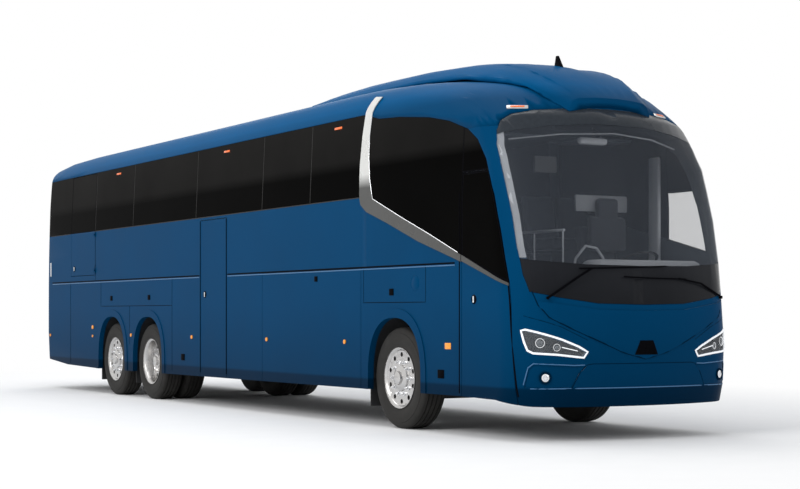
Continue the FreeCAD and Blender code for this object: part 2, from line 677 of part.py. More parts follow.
def turned(points, centre):
    """Ring about the wheel's axle from (distance outboard, radius) points, in even steps."""
    turns = [Rotation(Vector(1, 0, 0), 360 * n / ROUND_STEPS) for n in range(ROUND_STEPS)]
    rings = [[turn.multVec(Vector(x, 0, r)) + centre for x, r in points] for turn in turns]
    faces = []
    for near, following in zip(rings, rings[1:] + rings[:1]):
        for n in range(len(points)):
            m = (n + 1) % len(points)
            corners = [near[n], near[m], following[m], following[n]]
            faces.append(Part.Face(Part.makePolygon(corners + corners[:1])))
    solid = Part.Solid(Part.Shell(faces))
    if solid.Volume < 0:
        solid.reverse()
    return solid


def tyre_profile(outer_x, inner_x):
    """Half section of a tyre from its outer to its inner bead."""
    bead, top, edge = s.bead_radius, s.tyre_radius, 30
    return [(outer_x - edge, bead), (outer_x - edge, bead + 24), (outer_x, bead + 100), (outer_x - 12, top - 45),
            (outer_x - 42, top), (inner_x + 42, top), (inner_x + 12, top - 45), (inner_x, bead + 100),
            (inner_x + edge, bead + 24), (inner_x + edge, bead)]


def rim_profile(outer_x, disc_x, bore, hub_back):
    """Rim barrel, disc and hub in one section; the disc's outer face stands at disc_x."""
    seat = s.bead_radius - s.seat_gap
    wall = s.bead_radius - s.rim_wall
    hub = s.hub_radius
    inner_x = outer_x - s.tyre_width + 30
    lip_x = outer_x - 30 + s.seat_gap
    return [(lip_x + 10, s.bead_radius + 18), (lip_x + 10, wall), (disc_x, wall - 12), (disc_x + 6, hub),
            (disc_x + 50, hub - 60), (disc_x + 50, bore), (hub_back, bore), (hub_back, hub), (disc_x - s.rim_wall, hub),
            (disc_x - s.rim_wall - 6, wall - 16), (inner_x, wall), (inner_x, seat), (lip_x, seat),
            (lip_x, s.bead_radius + 18)]


def hand_holes(outer_x, centre):
    """Octagonal prisms through the disc, evenly round the hub."""
    holes = []
    for n in range(HAND_HOLES):
        turn = Rotation(Vector(1, 0, 0), 360 * (n + 0.5) / HAND_HOLES)
        middle = (s.hub_radius + s.bead_radius - s.rim_wall) / 2 + 4
        corners = [turn.multVec(Vector(0, 21 * cos(a), middle + 25 * sin(a))) + centre
                   for a in (pi * (k + 0.5) / 4 for k in range(8))]
        wire = Part.makePolygon([c + Vector(outer_x - 230, 0, 0) for c in corners + corners[:1]])
        holes.append(Part.Face(wire).extrude(Vector(240, 0, 0)))
    return holes


def wheel_pair(name, axle_at, twin=False):
    """Tyre and rim nodes of one axle, right and left."""
    centre = Vector(0, at(axle_at), s.tyre_radius)
    bore = (s.spindle + s.seat_gap) / cos(pi / ROUND_STEPS)
    outer = s.tyre_outer
    disc = outer - 150 if twin else outer - 45
    tyre = turned(tyre_profile(outer, outer - s.tyre_width), centre)
    hub_back = outer - s.twin_spacing - 20 if twin else outer - 245
    rim = turned(rim_profile(outer, disc, bore, hub_back), centre).cut(hand_holes(disc + 120, centre))
    if twin:
        second = outer - s.twin_spacing
        tyre = Part.makeCompound([tyre, turned(tyre_profile(second, second - s.tyre_width), centre)])
        barrel = turned(rim_profile(second, second - 60, bore, second - 90), centre)
        rim = rim.fuse(barrel)
    for side in ("left", "right"):
        feature(f"{name}_tyre_{side}", tyre if side == "left" else mirrored(tyre))
        feature(f"{name}_wheel_{side}", rim if side == "left" else mirrored(rim))


# Running gear

def make_knuckle(side, name):
    """Steering knuckle: upright on the kingpin, spindle into the hub, steering arm."""
    x = s.kingpin_half
    centre = s.tyre_radius
    y = at(0)
    upright = Part.makeCylinder(45, 250, Vector(x, y, centre - 125))
    bore = Part.makeCylinder(s.kingpin + s.seat_gap, 250, Vector(x, y, centre - 125))
    spindle = Part.makeCylinder(s.spindle, s.tyre_outer + 10 - x, Vector(x, y, centre), Vector(1, 0, 0))
    arm = Part.makeBox(50, 240, 30, Vector(x - 70, y + 20, centre - 60))
    whole = upright.fuse([spindle, arm]).cut(bore).removeSplitter()
    feature(name, whole if side > 0 else mirrored(whole))


BELLOWS_X = 445
BELLOWS_BACK = 270


def make_axles():
    """Front beam with its kingpins, drive axle, tag axle and the air bellows."""
    y, z = at(0), s.tyre_radius
    pin_x = s.kingpin_half
    beam = Part.makeBox(2 * pin_x - 260, 110, 110, Vector(-(pin_x - 130), y - 55, 300))
    pieces = [beam]
    for side in (-1, 1):
        x = side * pin_x
        pieces += [Part.makeCylinder(s.kingpin, 330, Vector(x, y, z - 165)),
                   Part.makeBox(170, 90, 35, Vector(x - (150 if side > 0 else 20), y - 45, z - 125 - 36)),
                   Part.makeBox(60, 90, 100, Vector(x - 30 - side * 120, y - 45, 300)),
                   round_bar(125, 300, Vector(side * BELLOWS_X, y + BELLOWS_BACK, 415)),
                   Part.makeBox(120, 380, 40, Vector(side * BELLOWS_X - 60, y - 40, 375))]
    front = pieces[0].fuse(pieces[1:]).removeSplitter()
    rears = []
    for axle_at, housing in ((s.drive_axle_at, 110), (s.tag_axle_at, 75)):
        y = at(axle_at)
        half = s.tyre_outer - 265 - 20 if housing < 100 else s.tyre_outer - s.twin_spacing - s.tyre_width - 20
        tube = round_bar(housing, 2 * half, Vector(-half, y, z), Vector(1, 0, 0), 24)
        stubs = Part.makeCylinder(s.spindle, 2 * (s.tyre_outer - 60), Vector(60 - s.tyre_outer, y, z), Vector(1, 0, 0))
        bags = [round_bar(125, 300, Vector(side * BELLOWS_X, y + BELLOWS_BACK, 415)) for side in (-1, 1)]
        seats = [Part.makeBox(120, 380, 95, Vector(side * BELLOWS_X - 60, y, 375)) for side in (-1, 1)]
        rears.append(tube.fuse([stubs] + bags + seats).removeSplitter())
    bulge = [(-230, 110), (-190, 190), (-90, 235), (90, 235), (190, 190), (230, 110), (230, 60), (-230, 60)]
    centre = Vector(0, at(s.drive_axle_at), z)
    rears[0] = rears[0].fuse(turned(bulge, centre)).removeSplitter()
    feature("axles", Part.makeCompound([front] + rears))


def make_underframe():
    """Two longitudinal beams with cross members, hold floor and bulkheads."""
    rail_z = (1010, s.floor_top - s.floor_deck)
    rail_z = (rail_z[0], rail_z[1] - s.seat_gap)
    inside = s.half_width - s.wall - s.seat_gap
    pieces = [slab((side * 430 - 35, side * 430 + 35), (-700, 11000), rail_z) for side in (-1, 1)]
    front_wall_at = s.hold_front_at - g - 25
    for a in (-650, front_wall_at, s.hold_rear_at + g + 25, s.hold_end_at, 7620, 9050, 10950):
        pieces.append(slab((-inside, inside), (a - 25, a + 25), (rail_z[0] + 150, rail_z[1])))
    for a in (front_wall_at, s.hold_end_at):
        pieces.append(slab((-inside + 170, inside - 170), (a - 15, a + 15), (s.hold_floor, rail_z[1])))
    hold = slab((-inside + 170, inside - 170), (front_wall_at, s.hold_end_at), (s.hold_floor - 40, s.hold_floor))
    well = slab((-inside, 60 - s.stair_inner), (s.middle_door_front_at, s.middle_door_rear_at), (0, s.hold_floor))
    pieces.append(hold.cut(well))
    for axle_at in (0, s.drive_axle_at, s.tag_axle_at):
        pieces += [slab((side * BELLOWS_X - 60, side * BELLOWS_X + 60),
                        (axle_at + BELLOWS_BACK - 60, axle_at + BELLOWS_BACK + 60), (715 + s.seat_gap, rail_z[0]))
                   for side in (-1, 1)]
    pieces += [slab((side * 430 - 35, side * 430 + 35), (-2150, -700), (700, 800)) for side in (-1, 1)]
    pieces += [slab((side * 430 - 35, side * 430 + 35), (-750, -680), (700, rail_z[1])) for side in (-1, 1)]
    feature("underframe", pieces[0].fuse(pieces[1:]).removeSplitter())


HOUSING_SPREAD = 80


def make_wheel_housings():
    inside = s.half_width - s.wall - s.seat_gap
    shells = []
    for axle_at in (0, s.drive_axle_at, s.tag_axle_at):
        for side in (-1, 1):
            low_x, high_x = sorted((side * inside, side * 560))
            tunnel = arch_tunnel(axle_at, low_x, high_x, HOUSING_SPREAD + 20)
            tunnel = tunnel.cut(arch_tunnel(axle_at, low_x, high_x, HOUSING_SPREAD))
            above = slab((low_x, high_x), (axle_at - 900, axle_at + 900), (500, 2000))
            shells.append(tunnel.common(above))
    feature("wheel_housings", Part.makeCompound(shells))


def make_engine():
    block("engine_block", ("-420", "420"), (f"{FRONT_AXLE} + 9750", f"{FRONT_AXLE} + 11150"), ("450", "1009.7"))
    return keep(doc.getObject("engine_block"))


# Inside of the bus

def make_floor():
    """Saloon floor with the middle stairwell cut out."""
    inside = s.half_width - s.wall - s.seat_gap
    top, deck = s.floor_top, s.floor_deck
    saloon = slab((-inside, inside), (s.saloon_front_at, TAIL_AT - 80), (top - deck, top))
    well = slab((-inside - 5, -s.stair_inner), (s.middle_door_front_at, s.middle_door_rear_at), (0, top + 5))
    feature("floor", saloon.cut(well))
    gap = s.seat_gap
    across = (-s.stair_inner + gap, inside - 90)
    platform = slab(across, (-2150, s.saloon_front_at - gap), (s.platform_top - deck, s.platform_top))
    riser = slab(across, (s.saloon_front_at - 20, s.saloon_front_at - gap), (s.platform_top - deck, top))
    feature("driver_platform", platform.fuse(riser))


STEP_RISE = 260
STEP_GOING = 155


def stairs(first, last, post_at):
    """Four treads with risers up to the saloon floor, and the foot plate of the door's post."""
    tread = s.half_width - 165
    pieces = []
    for step in range(4):
        near = -tread + STEP_GOING * step
        far = near + STEP_GOING if step < 3 else -s.stair_inner
        z = s.floor_top - STEP_RISE * (4 - step)
        pieces += [slab((near, far), (first, last), (z - 20, z)), slab((far - 20, far), (first, last), (z - 20, z + STEP_RISE))]
    foot_z = s.arm_post_foot - s.seat_gap
    pieces.append(slab((-ARM_X - 25, 30 - tread), (post_at - 25, post_at + 25), (foot_z - 30, foot_z)))
    return pieces[0].fuse(pieces[1:]).removeSplitter()


def make_stairs():
    feature("front_stairs", stairs(-2050, s.saloon_front_at - s.seat_gap, FRONT_POST_AT))
    feature("middle_stairs", stairs(s.middle_door_front_at + s.seat_gap, s.middle_door_rear_at - s.seat_gap, MIDDLE_POST_AT))
    rail_x = -s.stair_inner - 10
    foot = s.floor_top + s.seat_gap
    posts = [round_bar(9, 525, Vector(rail_x, at(a), foot)) for a in (-1900, -1420, s.saloon_front_at - 40)]
    top = round_bar(14, 1000, Vector(rail_x, at(-1920), foot + 520), Vector(0, 1, 0))
    feature("handrails", top.fuse(posts))


def make_dashboard():
    inside = s.half_width - s.wall
    desk = slab((-380, 1080), (-2180, -1830), (s.platform_top + s.seat_gap, 1560))
    hump = Part.makeCylinder(260, 640, Vector(300, at(-1930), 1440), Vector(1, 0, 0))
    hump = hump.common(slab((0, inside), (-2150, -1700), (1300, 1720)))
    feature("dashboard", desk.fuse(hump).removeSplitter())


def make_steering_wheel():
    grip = turned([(14, 225), (0, 241), (-14, 225), (0, 209)], Vector())
    grip.rotate(Vector(), Vector(0, 1, 0), -90)
    hub = Part.makeCylinder(50, 40, Vector(0, 0, -30))
    spokes = [Part.makeBox(430, 30, 14, Vector(-215, -15, -12))]
    column = Part.makeCylinder(28, 385, Vector(0, 0, -400))
    wheel = grip.fuse([hub, column] + spokes)
    wheel.rotate(Vector(), Vector(1, 0, 0), -28)
    wheel.translate(Vector(620, at(-1560), 1690))
    feature("steering_wheel", wheel.cut(doc.getObject("dashboard").Shape))


def seat_pieces(x, station, width, floor, height=1050):
    """Cushion on its pedestal, and the raked back behind it."""
    cushion = slab((x - width / 2, x + width / 2), (station, station + 430 - s.seat_gap), (floor + 400, floor + 520))
    leg = slab((x - width / 4, x + width / 4), (station + 120, station + 330), (floor + s.seat_gap, floor + 410))
    foot = Vector(x, at(station + 430), floor + 400)
    back = Part.makeBox(width, 110, height - 400, foot - Vector(width / 2, 0, 0))
    back.rotate(foot, Vector(1, 0, 0), -12)
    return cushion.fuse(leg).removeSplitter(), back


def make_seats():
    """Double seats either side of the aisle, and the driver's seat."""
    pairs = []
    for side in (-1, 1):
        for n in range(13):
            station = -560 + s.seat_pitch * n
            stairs_here = s.middle_door_front_at - 700 < station < s.middle_door_rear_at + 100
            if side > 0 or not stairs_here:
                pairs.append(seat_pieces(side * 750, station, 880, s.floor_top))
    pairs.append(seat_pieces(620, -1490, 520, s.platform_top, 1150))
    feature("seats", Part.makeCompound([cushion for cushion, _ in pairs]))
    feature("seat_backs", Part.makeCompound([back for _, back in pairs]))


def make_racks():
    """Overhead luggage racks along both sides of the saloon."""
    racks = []
    for side in (-1, 1):
        low_x, high_x = sorted((side * 560, side * s.half_width))
        racks.append(slab((low_x, high_x), (-200, REAR - 650), (HEAD - 170, HEAD - 130)).common(lining))
        lip_x = sorted((side * 560, side * 600))
        racks.append(slab(lip_x, (-200, REAR - 650), (HEAD - 130, HEAD - 10)))
    pairs = [racks[0].fuse(racks[1]).removeSplitter(), racks[2].fuse(racks[3]).removeSplitter()]
    feature("luggage_racks", Part.makeCompound(pairs))


# Lamps, trim and small outside pieces

def make_mud_flaps():
    flaps = []
    behind = s.arch_half + HOUSING_SPREAD + 20 + s.seat_gap
    for axle_at in (0, s.drive_axle_at, s.tag_axle_at):
        for side in (-1, 1):
            low_x, high_x = sorted((side * 930, side * 1190))
            flaps.append(slab((low_x, high_x), (axle_at + behind, axle_at + behind + 12), (200, 700)))
    feature("mud_flaps", Part.makeCompound(flaps))


make_roof()
make_side_walls()
make_skirts()
make_front_mask()
make_head_lamps()
make_rear_wall()
make_tail_lamps()
make_glass()
make_roof_pod()
make_chrome()
make_marker_lamps()
make_wipers()
make_doors()
make_hold_doors()
make_engine_lid()
wheel_pair("front", 0)
wheel_pair("drive", s.drive_axle_at, twin=True)
wheel_pair("tag", s.tag_axle_at)
make_knuckle(-1, "knuckle_right")
make_knuckle(1, "knuckle_left")
make_axles()
make_underframe()
make_wheel_housings()
make_engine()
make_floor()
make_stairs()
make_dashboard()
make_steering_wheel()
make_seats()
make_racks()
make_mud_flaps()

doc.recompute()
faults = [o.Label for o in doc.Objects if "Invalid" in o.State or "Error" in o.State]
for node in NODES:
    if node.Shape.isNull() or not node.Shape.isValid() or node.Shape.Volume <= 0:
        faults.append(node.Label)
if faults:
    raise RuntimeError("unsound: " + ", ".join(faults))

os.makedirs("parts", exist_ok=True)
for node in NODES:
    node.Shape.exportStep(f"parts/{node.Label}.step")
    print(node.Label, len(node.Shape.Solids), round(node.Shape.Volume / 1e9, 4))
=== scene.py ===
import json
import math

import bmesh
import bpy
from mathutils import Matrix, Vector
from mathutils.bvhtree import BVHTree

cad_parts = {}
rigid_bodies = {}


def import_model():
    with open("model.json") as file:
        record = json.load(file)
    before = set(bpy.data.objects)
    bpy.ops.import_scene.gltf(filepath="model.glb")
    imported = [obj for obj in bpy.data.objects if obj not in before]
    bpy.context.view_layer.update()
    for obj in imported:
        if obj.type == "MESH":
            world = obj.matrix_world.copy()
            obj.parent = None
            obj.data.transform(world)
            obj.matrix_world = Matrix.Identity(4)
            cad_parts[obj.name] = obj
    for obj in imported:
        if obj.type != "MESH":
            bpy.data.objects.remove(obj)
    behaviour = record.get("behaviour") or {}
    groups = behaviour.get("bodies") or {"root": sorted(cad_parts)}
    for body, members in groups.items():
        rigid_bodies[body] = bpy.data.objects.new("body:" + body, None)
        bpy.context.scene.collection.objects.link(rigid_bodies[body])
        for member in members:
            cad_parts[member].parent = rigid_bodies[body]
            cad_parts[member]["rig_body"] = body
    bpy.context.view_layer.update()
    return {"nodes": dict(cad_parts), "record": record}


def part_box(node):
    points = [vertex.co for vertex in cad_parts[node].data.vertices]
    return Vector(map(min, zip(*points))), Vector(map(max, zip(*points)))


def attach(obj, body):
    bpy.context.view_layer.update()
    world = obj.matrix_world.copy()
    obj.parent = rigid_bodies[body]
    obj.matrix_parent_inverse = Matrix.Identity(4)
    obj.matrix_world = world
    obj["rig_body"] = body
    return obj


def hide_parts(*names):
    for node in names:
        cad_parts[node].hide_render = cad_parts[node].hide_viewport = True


# Looks of a three-axle touring coach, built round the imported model.
# Metres. Front towards -Y, right-hand side towards -X, +Z up, ground at Z = 0.
# Stations are measured along the bus, rearward from the front axle.

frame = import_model()

WHEEL_LOW, WHEEL_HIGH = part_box("front_tyre_right")
FRONT_AXLE_Y = (WHEEL_LOW.y + WHEEL_HIGH.y) / 2
AXLE_Z = (WHEEL_LOW.z + WHEEL_HIGH.z) / 2
HALF_WIDTH = 1.275
DRIVE_AXLE = 6.905
TAG_AXLE = 8.33

FULL_TURN = math.tau
CREASE = math.radians(32)
SIDES = ((-1, "right"), (1, "left"))
AHEAD = Vector((0, -1, 0))


def at(station):
    """Y of a station."""
    return FRONT_AXLE_Y + station


def placed(name, data):
    """A new object in the scene."""
    thing = bpy.data.objects.new(name, data)
    bpy.context.scene.collection.objects.link(thing)
    return thing


def mesh_of(name, form):
    """A finished bmesh as a mesh."""
    mesh = bpy.data.meshes.new(name)
    form.to_mesh(mesh)
    form.free()
    return mesh


def rounded(form, offset):
    """Round every edge of a form."""
    bmesh.ops.bevel(form, geom=form.edges, offset=offset, segments=2, profile=0.5, affect="EDGES",
                    material=-1)


# Camera, light and floor

CAMERA_PLACE = (-9.742, at(-14.833), 1.184)
CAMERA_TURN = math.radians(-29.92)
CAMERA_LENS = 74.78
CAMERA_RISE = 0.0865


def make_camera():
    """The camera as it stood for the photo."""
    view = bpy.data.cameras.new("photo_camera")
    view.lens = CAMERA_LENS
    view.sensor_width = 36
    view.shift_y = CAMERA_RISE
    view.clip_end = 300
    camera = placed("photo_camera", view)
    camera.location = CAMERA_PLACE
    camera.rotation_euler = (math.pi / 2, 0, CAMERA_TURN)
    bpy.context.scene.camera = camera


SKY_LIGHT = 0.62


def linked(tree, kind, sockets=(), **settings):
    """Add a shader node; each socket takes a value, or the output that feeds it. Returns the outputs."""
    node = tree.nodes.new(kind)
    for name, value in settings.items():
        setattr(node, name, value)
    for socket, value in dict(sockets).items():
        if isinstance(value, bpy.types.NodeSocket):
            tree.links.new(value, node.inputs[socket])
        else:
            node.inputs[socket].default_value = value
    return node.outputs


def toned(tree, amount, steps):
    """A colour ramp over steps of (position, colour)."""
    ramp = tree.nodes.new("ShaderNodeValToRGB")
    elements = ramp.color_ramp.elements
    for _ in steps[2:]:
        elements.new(0.5)
    for element, (position, colour) in zip(elements, steps):
        element.position = position
        element.color = colour
    tree.links.new(amount, ramp.inputs["Fac"])
    return ramp.outputs["Color"]


def make_world():
    """Soft even light, and plain white where the camera, a reflection or clear glass looks past the bus."""
    world = bpy.data.worlds.new("studio")
    world.use_nodes = True
    bpy.context.scene.world = world
    tree = world.node_tree
    light = tree.nodes["Background"]
    light.inputs["Color"].default_value = (0.95, 0.97, 1.0, 1)
    light.inputs["Strength"].default_value = SKY_LIGHT
    white = linked(tree, "ShaderNodeBackground", {"Color": (1, 1, 1, 1)})
    rays = linked(tree, "ShaderNodeLightPath")
    seen = linked(tree, "ShaderNodeMath", {0: rays["Is Camera Ray"], 1: rays["Is Glossy Ray"]},
                  operation="ADD")
    either = linked(tree, "ShaderNodeMath", {0: seen[0], 1: rays["Is Transmission Ray"]}, operation="ADD",
                    use_clamp=True)
    mix = linked(tree, "ShaderNodeMixShader", {0: either[0], 1: light.outputs[0], 2: white[0]})
    tree.links.new(mix[0], tree.nodes["World Output"].inputs["Surface"])


# (name, place, point looked at, size across, power)
LAMPS = [
    ("key_light", (-19, -9, 12), (0, 0, 1.8), 12, 2100),
    ("fill_light", (7, -19, 8), (0, -6, 1.8), 9, 260),
    ("top_light", (-2, 2, 14), (0, 1, 2), 14, 900),
    ("rear_light", (8, 16, 9), (0, 5, 2), 10, 500),
]


def make_lamps():
    """Large soft lamps round the bus."""
    for name, place, aim, size, power in LAMPS:
        lamp = bpy.data.lights.new(name, "AREA")
        lamp.shape = "DISK"
        lamp.size = size
        lamp.energy = power
        body = placed(name, lamp)
        body.location = place
        body.rotation_euler = (Vector(aim) - Vector(place)).to_track_quat("-Z", "Y").to_euler()


FLOOR_REACH = 140
SHADOW_HALF_WIDTH, SHADOW_HALF_LENGTH = 9, 15
SHADOW_FULL = 0.55


def make_floor():
    """Pale floor that keeps the shadow near the bus and is plain white further off."""
    form = bmesh.new()
    bmesh.ops.create_grid(form, x_segments=1, y_segments=1, size=FLOOR_REACH)
    floor = placed("studio_floor", mesh_of("studio_floor", form))
    paint = surface("floor_paint", (0.93, 0.93, 0.93), 0.9, drift=0.01, grain=3.0)
    tree = paint.node_tree
    place = linked(tree, "ShaderNodeTexCoord")
    oval = linked(tree, "ShaderNodeMapping", {"Scale": (1 / SHADOW_HALF_WIDTH, 1 / SHADOW_HALF_LENGTH, 1),
                                              "Vector": place["Object"]})
    reach = linked(tree, "ShaderNodeVectorMath", {0: oval["Vector"]}, operation="LENGTH")
    fade = linked(tree, "ShaderNodeMapRange",
                  {"From Min": SHADOW_FULL, "From Max": 1.0, "Value": reach["Value"]})
    rays = linked(tree, "ShaderNodeLightPath")
    both = linked(tree, "ShaderNodeMath", {0: fade["Result"], 1: rays["Is Camera Ray"]}, operation="MULTIPLY")
    white = linked(tree, "ShaderNodeEmission", {"Strength": 1})
    mix = linked(tree, "ShaderNodeMixShader",
                 {0: both[0], 1: tree.nodes["Principled BSDF"].outputs[0], 2: white[0]})
    tree.links.new(mix[0], tree.nodes["Material Output"].inputs["Surface"])
    floor.data.materials.append(paint)


# Finishes

SHORT_NAMES = {"shine": "Specular IOR Level", "tint": "Specular Tint"}


def surface(name, colour, roughness, metallic=0.0, drift=0.08, grain=30.0, wear=0.04, dent=0.0,
            dent_grain=400.0, **sockets):
    """Principled finish: colour drifts by a share, roughness by wear; a fine bump is dent metres deep."""
    finish = bpy.data.materials.new(name)
    finish.use_nodes = True
    tree = finish.node_tree
    shader = tree.nodes["Principled BSDF"].inputs
    place = linked(tree, "ShaderNodeTexCoord")["Object"]
    cloud = linked(tree, "ShaderNodeTexNoise", {"Scale": grain, "Detail": 4, "Vector": place})["Fac"]
    shades = [(0.3, [c * (1 - drift) for c in colour] + [1]),
              (0.7, [min(1, c * (1 + drift)) for c in colour] + [1])]
    tree.links.new(toned(tree, cloud, shades), shader["Base Color"])
    rough = linked(tree, "ShaderNodeMapRange",
                   {"To Min": max(0.0, roughness - wear), "To Max": roughness + wear, "Value": cloud})
    tree.links.new(rough["Result"], shader["Roughness"])
    shader["Metallic"].default_value = metallic
    if dent:
        fine = linked(tree, "ShaderNodeTexNoise", {"Scale": dent_grain, "Vector": place})
        bump = linked(tree, "ShaderNodeBump", {"Distance": dent, "Strength": 0.6, "Height": fine["Fac"]})
        tree.links.new(bump["Normal"], shader["Normal"])
    for socket, value in sockets.items():
        shader[SHORT_NAMES.get(socket, socket.replace("_", " "))].default_value = value
    return finish


def graded(finish, steps):
    """Tone a finish by height: steps are (height, share of the colour) from low to high. On the paint, the
    side glass and the chrome band this paints shade, highlight and reflection into the colour.
    """
    tree = finish.node_tree
    shader = tree.nodes["Principled BSDF"].inputs
    plain = shader["Base Color"].links[0].from_socket
    low, high = steps[0][0], steps[-1][0]
    split = linked(tree, "ShaderNodeSeparateXYZ", {0: linked(tree, "ShaderNodeTexCoord")["Object"]})
    level = linked(tree, "ShaderNodeMapRange", {"From Min": low, "From Max": high, "Value": split["Z"]})
    shades = [((height - low) / (high - low), (share, share, share, 1)) for height, share in steps]
    mix = linked(tree, "ShaderNodeMix", {0: 1, 6: plain, 7: toned(tree, level["Result"], shades)},
                 data_type="RGBA", blend_type="MULTIPLY")
    tree.links.new(mix[2], shader["Base Color"])
    return finish


BLUE = (0.0006, 0.045, 0.120)
BLUE_SHEEN = (0.02, 0.28, 0.55, 1)
DARK_SHEEN = (0.12, 0.12, 0.12, 1)


def make_finishes():
    """Every finish of the bus by its key."""
    return {
        # Toned by height: darker low down as painted shade on the tucked-in bumper and lower skirt, lighter
        # at the roof edge as a painted sky reflection.
        "paint": graded(surface("blue_paint_with_painted_shade_and_highlight", BLUE, 0.42, 0.03, drift=0.04, grain=1.3, wear=0.03,
                                dent=0.00002, dent_grain=1500, shine=0.02, tint=BLUE_SHEEN,
                                Coat_Weight=0.02, Coat_Roughness=0.15, Coat_IOR=1.15),
                        [(0.3, 0.3), (0.49, 0.36), (0.51, 0.74), (1.3, 1.0), (3.25, 1.08), (3.4, 1.7)]),
        # Blue at a third of its strength, for lines painted as shade in creases, seams and recesses.
        "deep_paint": surface("shaded_blue_paint", [c * 0.3 for c in BLUE], 0.5, 0.0, drift=0.05,
                              shine=0.02, tint=BLUE_SHEEN),
        "black_paint": surface("black_gloss_paint", (0.004, 0.004, 0.006), 0.16, drift=0.1, shine=0.02,
                               tint=DARK_SHEEN),
        "seal": surface("black_sealant", (0.0035, 0.0035, 0.0045), 0.4, drift=0.2, dent=0.0001, dent_grain=60,
                        shine=0.004, tint=DARK_SHEEN),
        # Toned by height: darker towards the bottom.
        "frit": graded(surface("black_glass_border", (0.016, 0.017, 0.02), 0.25, drift=0.08, grain=2,
                               shine=0.1, tint=DARK_SHEEN), [(1.2, 0.7), (1.6, 1.1)]),
        # Lighter in the upper part of the window band as a painted reflection of the sky.
        "side_glass": graded(surface("dark_side_glass_with_painted_reflection", (0.012, 0.0115, 0.011), 0.1, drift=0.2, grain=0.7,
                                     wear=0.02, shine=0.003, tint=DARK_SHEEN),
                             [(1.6, 0.22), (2.72, 0.16), (2.84, 0.9), (3.3, 1.1)]),
        "windscreen": surface("clear_windscreen", (0.085, 0.098, 0.12), 0.3, drift=0.06, grain=0.8, wear=0.02,
                              Alpha=0.22, shine=0.1),
        "clear_glass": surface("clear_cab_glass", (0.75, 0.78, 0.8), 0.05, drift=0.04, grain=0.8, wear=0.01,
                               Alpha=0.10, shine=0.2),
        "pale_trim": surface("pale_cabin_trim", (0.55, 0.57, 0.6), 0.6, drift=0.05, grain=8, dent=0.0002,
                             dent_grain=30),
        # Dark on the low diagonal part and bright on the upright top as a painted reflection of ground and
        # sky.
        "band_chrome": graded(surface("band_chrome_with_painted_reflection", (0.80, 0.80, 0.77), 0.28, 0.25, drift=0.06, grain=4,
                                      wear=0.05, shine=0.3),
                              [(1.4, 0.085), (2.28, 0.085), (2.52, 0.08), (2.66, 0.8)]),
        "tyre": surface("tyre_rubber", (0.022, 0.021, 0.0195), 0.7, drift=0.25, grain=9, wear=0.1,
                        dent=0.0004, dent_grain=260, shine=0.2),
        "aluminium": surface("polished_aluminium", (0.55, 0.54, 0.53), 0.22, 1.0, drift=0.06, grain=14,
                             wear=0.07, dent=0.00006, dent_grain=600),
        "iron": surface("painted_castings", (0.03, 0.03, 0.032), 0.6, 0.2, drift=0.3, grain=16, wear=0.1,
                        dent=0.0005),
        "steel": surface("black_painted_steel", (0.02, 0.02, 0.022), 0.5, 0.1, drift=0.25, grain=10,
                         dent=0.0002),
        "plastic": surface("dark_grained_plastic", (0.035, 0.036, 0.038), 0.6, drift=0.15, grain=12,
                           dent=0.0002, dent_grain=60),
        "cabin_grey": surface("grey_cabin_trim", (0.085, 0.1, 0.12), 0.6, drift=0.08, grain=8, dent=0.0002,
                              dent_grain=30),
        "rubber": surface("black_rubber", (0.014, 0.014, 0.015), 0.7, drift=0.2, grain=12, dent=0.0005),
        "floor": surface("speckled_floor", (0.16, 0.165, 0.17), 0.65, drift=0.15, grain=40, dent=0.0002,
                         dent_grain=60),
        "fabric": surface("grey_woven_fabric", (0.05, 0.055, 0.066), 0.9, drift=0.1, grain=22, dent=0.0004,
                          dent_grain=45, Sheen_Weight=0.3),
        "chrome": surface("bright_chrome", (0.82, 0.83, 0.85), 0.09, 1.0, drift=0.03, grain=5, wear=0.03),
        "lens": surface("clear_lens", (0.5, 0.54, 0.58), 0.05, drift=0.05, Alpha=0.08, shine=0.35),
        "amber": surface("amber_lens", (0.95, 0.33, 0.03), 0.2, drift=0.12, grain=60, dent=0.0006,
                         dent_grain=350),
        # Lighter blue for lines painted as highlights on lit edges and creases.
        "edge_paint": surface("lit_paint_edge", (0.05, 0.15, 0.3), 0.35, 0.1, drift=0.05, shine=0.3),
        "lamp_white": surface("white_lamp_border", (0.9, 0.92, 0.95), 0.2, drift=0.03, grain=20,
                              Emission_Color=(1, 1, 1, 1), Emission_Strength=0.25),
        "projector_glass": surface("projector_glass", (0.10, 0.11, 0.12), 0.04, drift=0.1, IOR=1.5),
        "sun_band": surface("tinted_glass_head", (0.034, 0.040, 0.048), 0.25, drift=0.1, Alpha=0.93,
                            shine=0.2, tint=DARK_SHEEN),
        "orange": surface("orange_lamp", (0.95, 0.17, 0.03), 0.25, drift=0.1, grain=60, dent=0.0004,
                          dent_grain=350),
        "joint_grey": surface("grey_joint_rubber", (0.035, 0.034, 0.033), 0.6, drift=0.15, grain=20,
                              shine=0.1),
        "red": surface("red_lens", (0.5, 0.012, 0.012), 0.2, drift=0.12, grain=60, dent=0.0006,
                       dent_grain=350),
    }


# Making pieces

def settle(form, name, body, finish, stands_for=(), crease=CREASE):
    """Turn a finished bmesh into a piece on a body."""
    for face in form.faces:
        face.smooth = True
    for edge in form.edges:
        edge.smooth = edge.calc_face_angle(0) < crease
    made = placed(name, mesh_of(name, form))
    made.data.materials.append(FINISHES[finish])
    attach(made, body)
    if stands_for:
        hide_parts(*stands_for)
    return made


def copied(node):
    """A bmesh of a CAD node with its loose triangles joined."""
    form = bmesh.new()
    form.from_mesh(frame["nodes"][node].data)
    bmesh.ops.remove_doubles(form, verts=form.verts, dist=2e-5)
    return form


def record_slots():
    """Material slot of each node."""
    return {row["node"]: row["material_slot"] for row in frame["record"]["subparts"]}


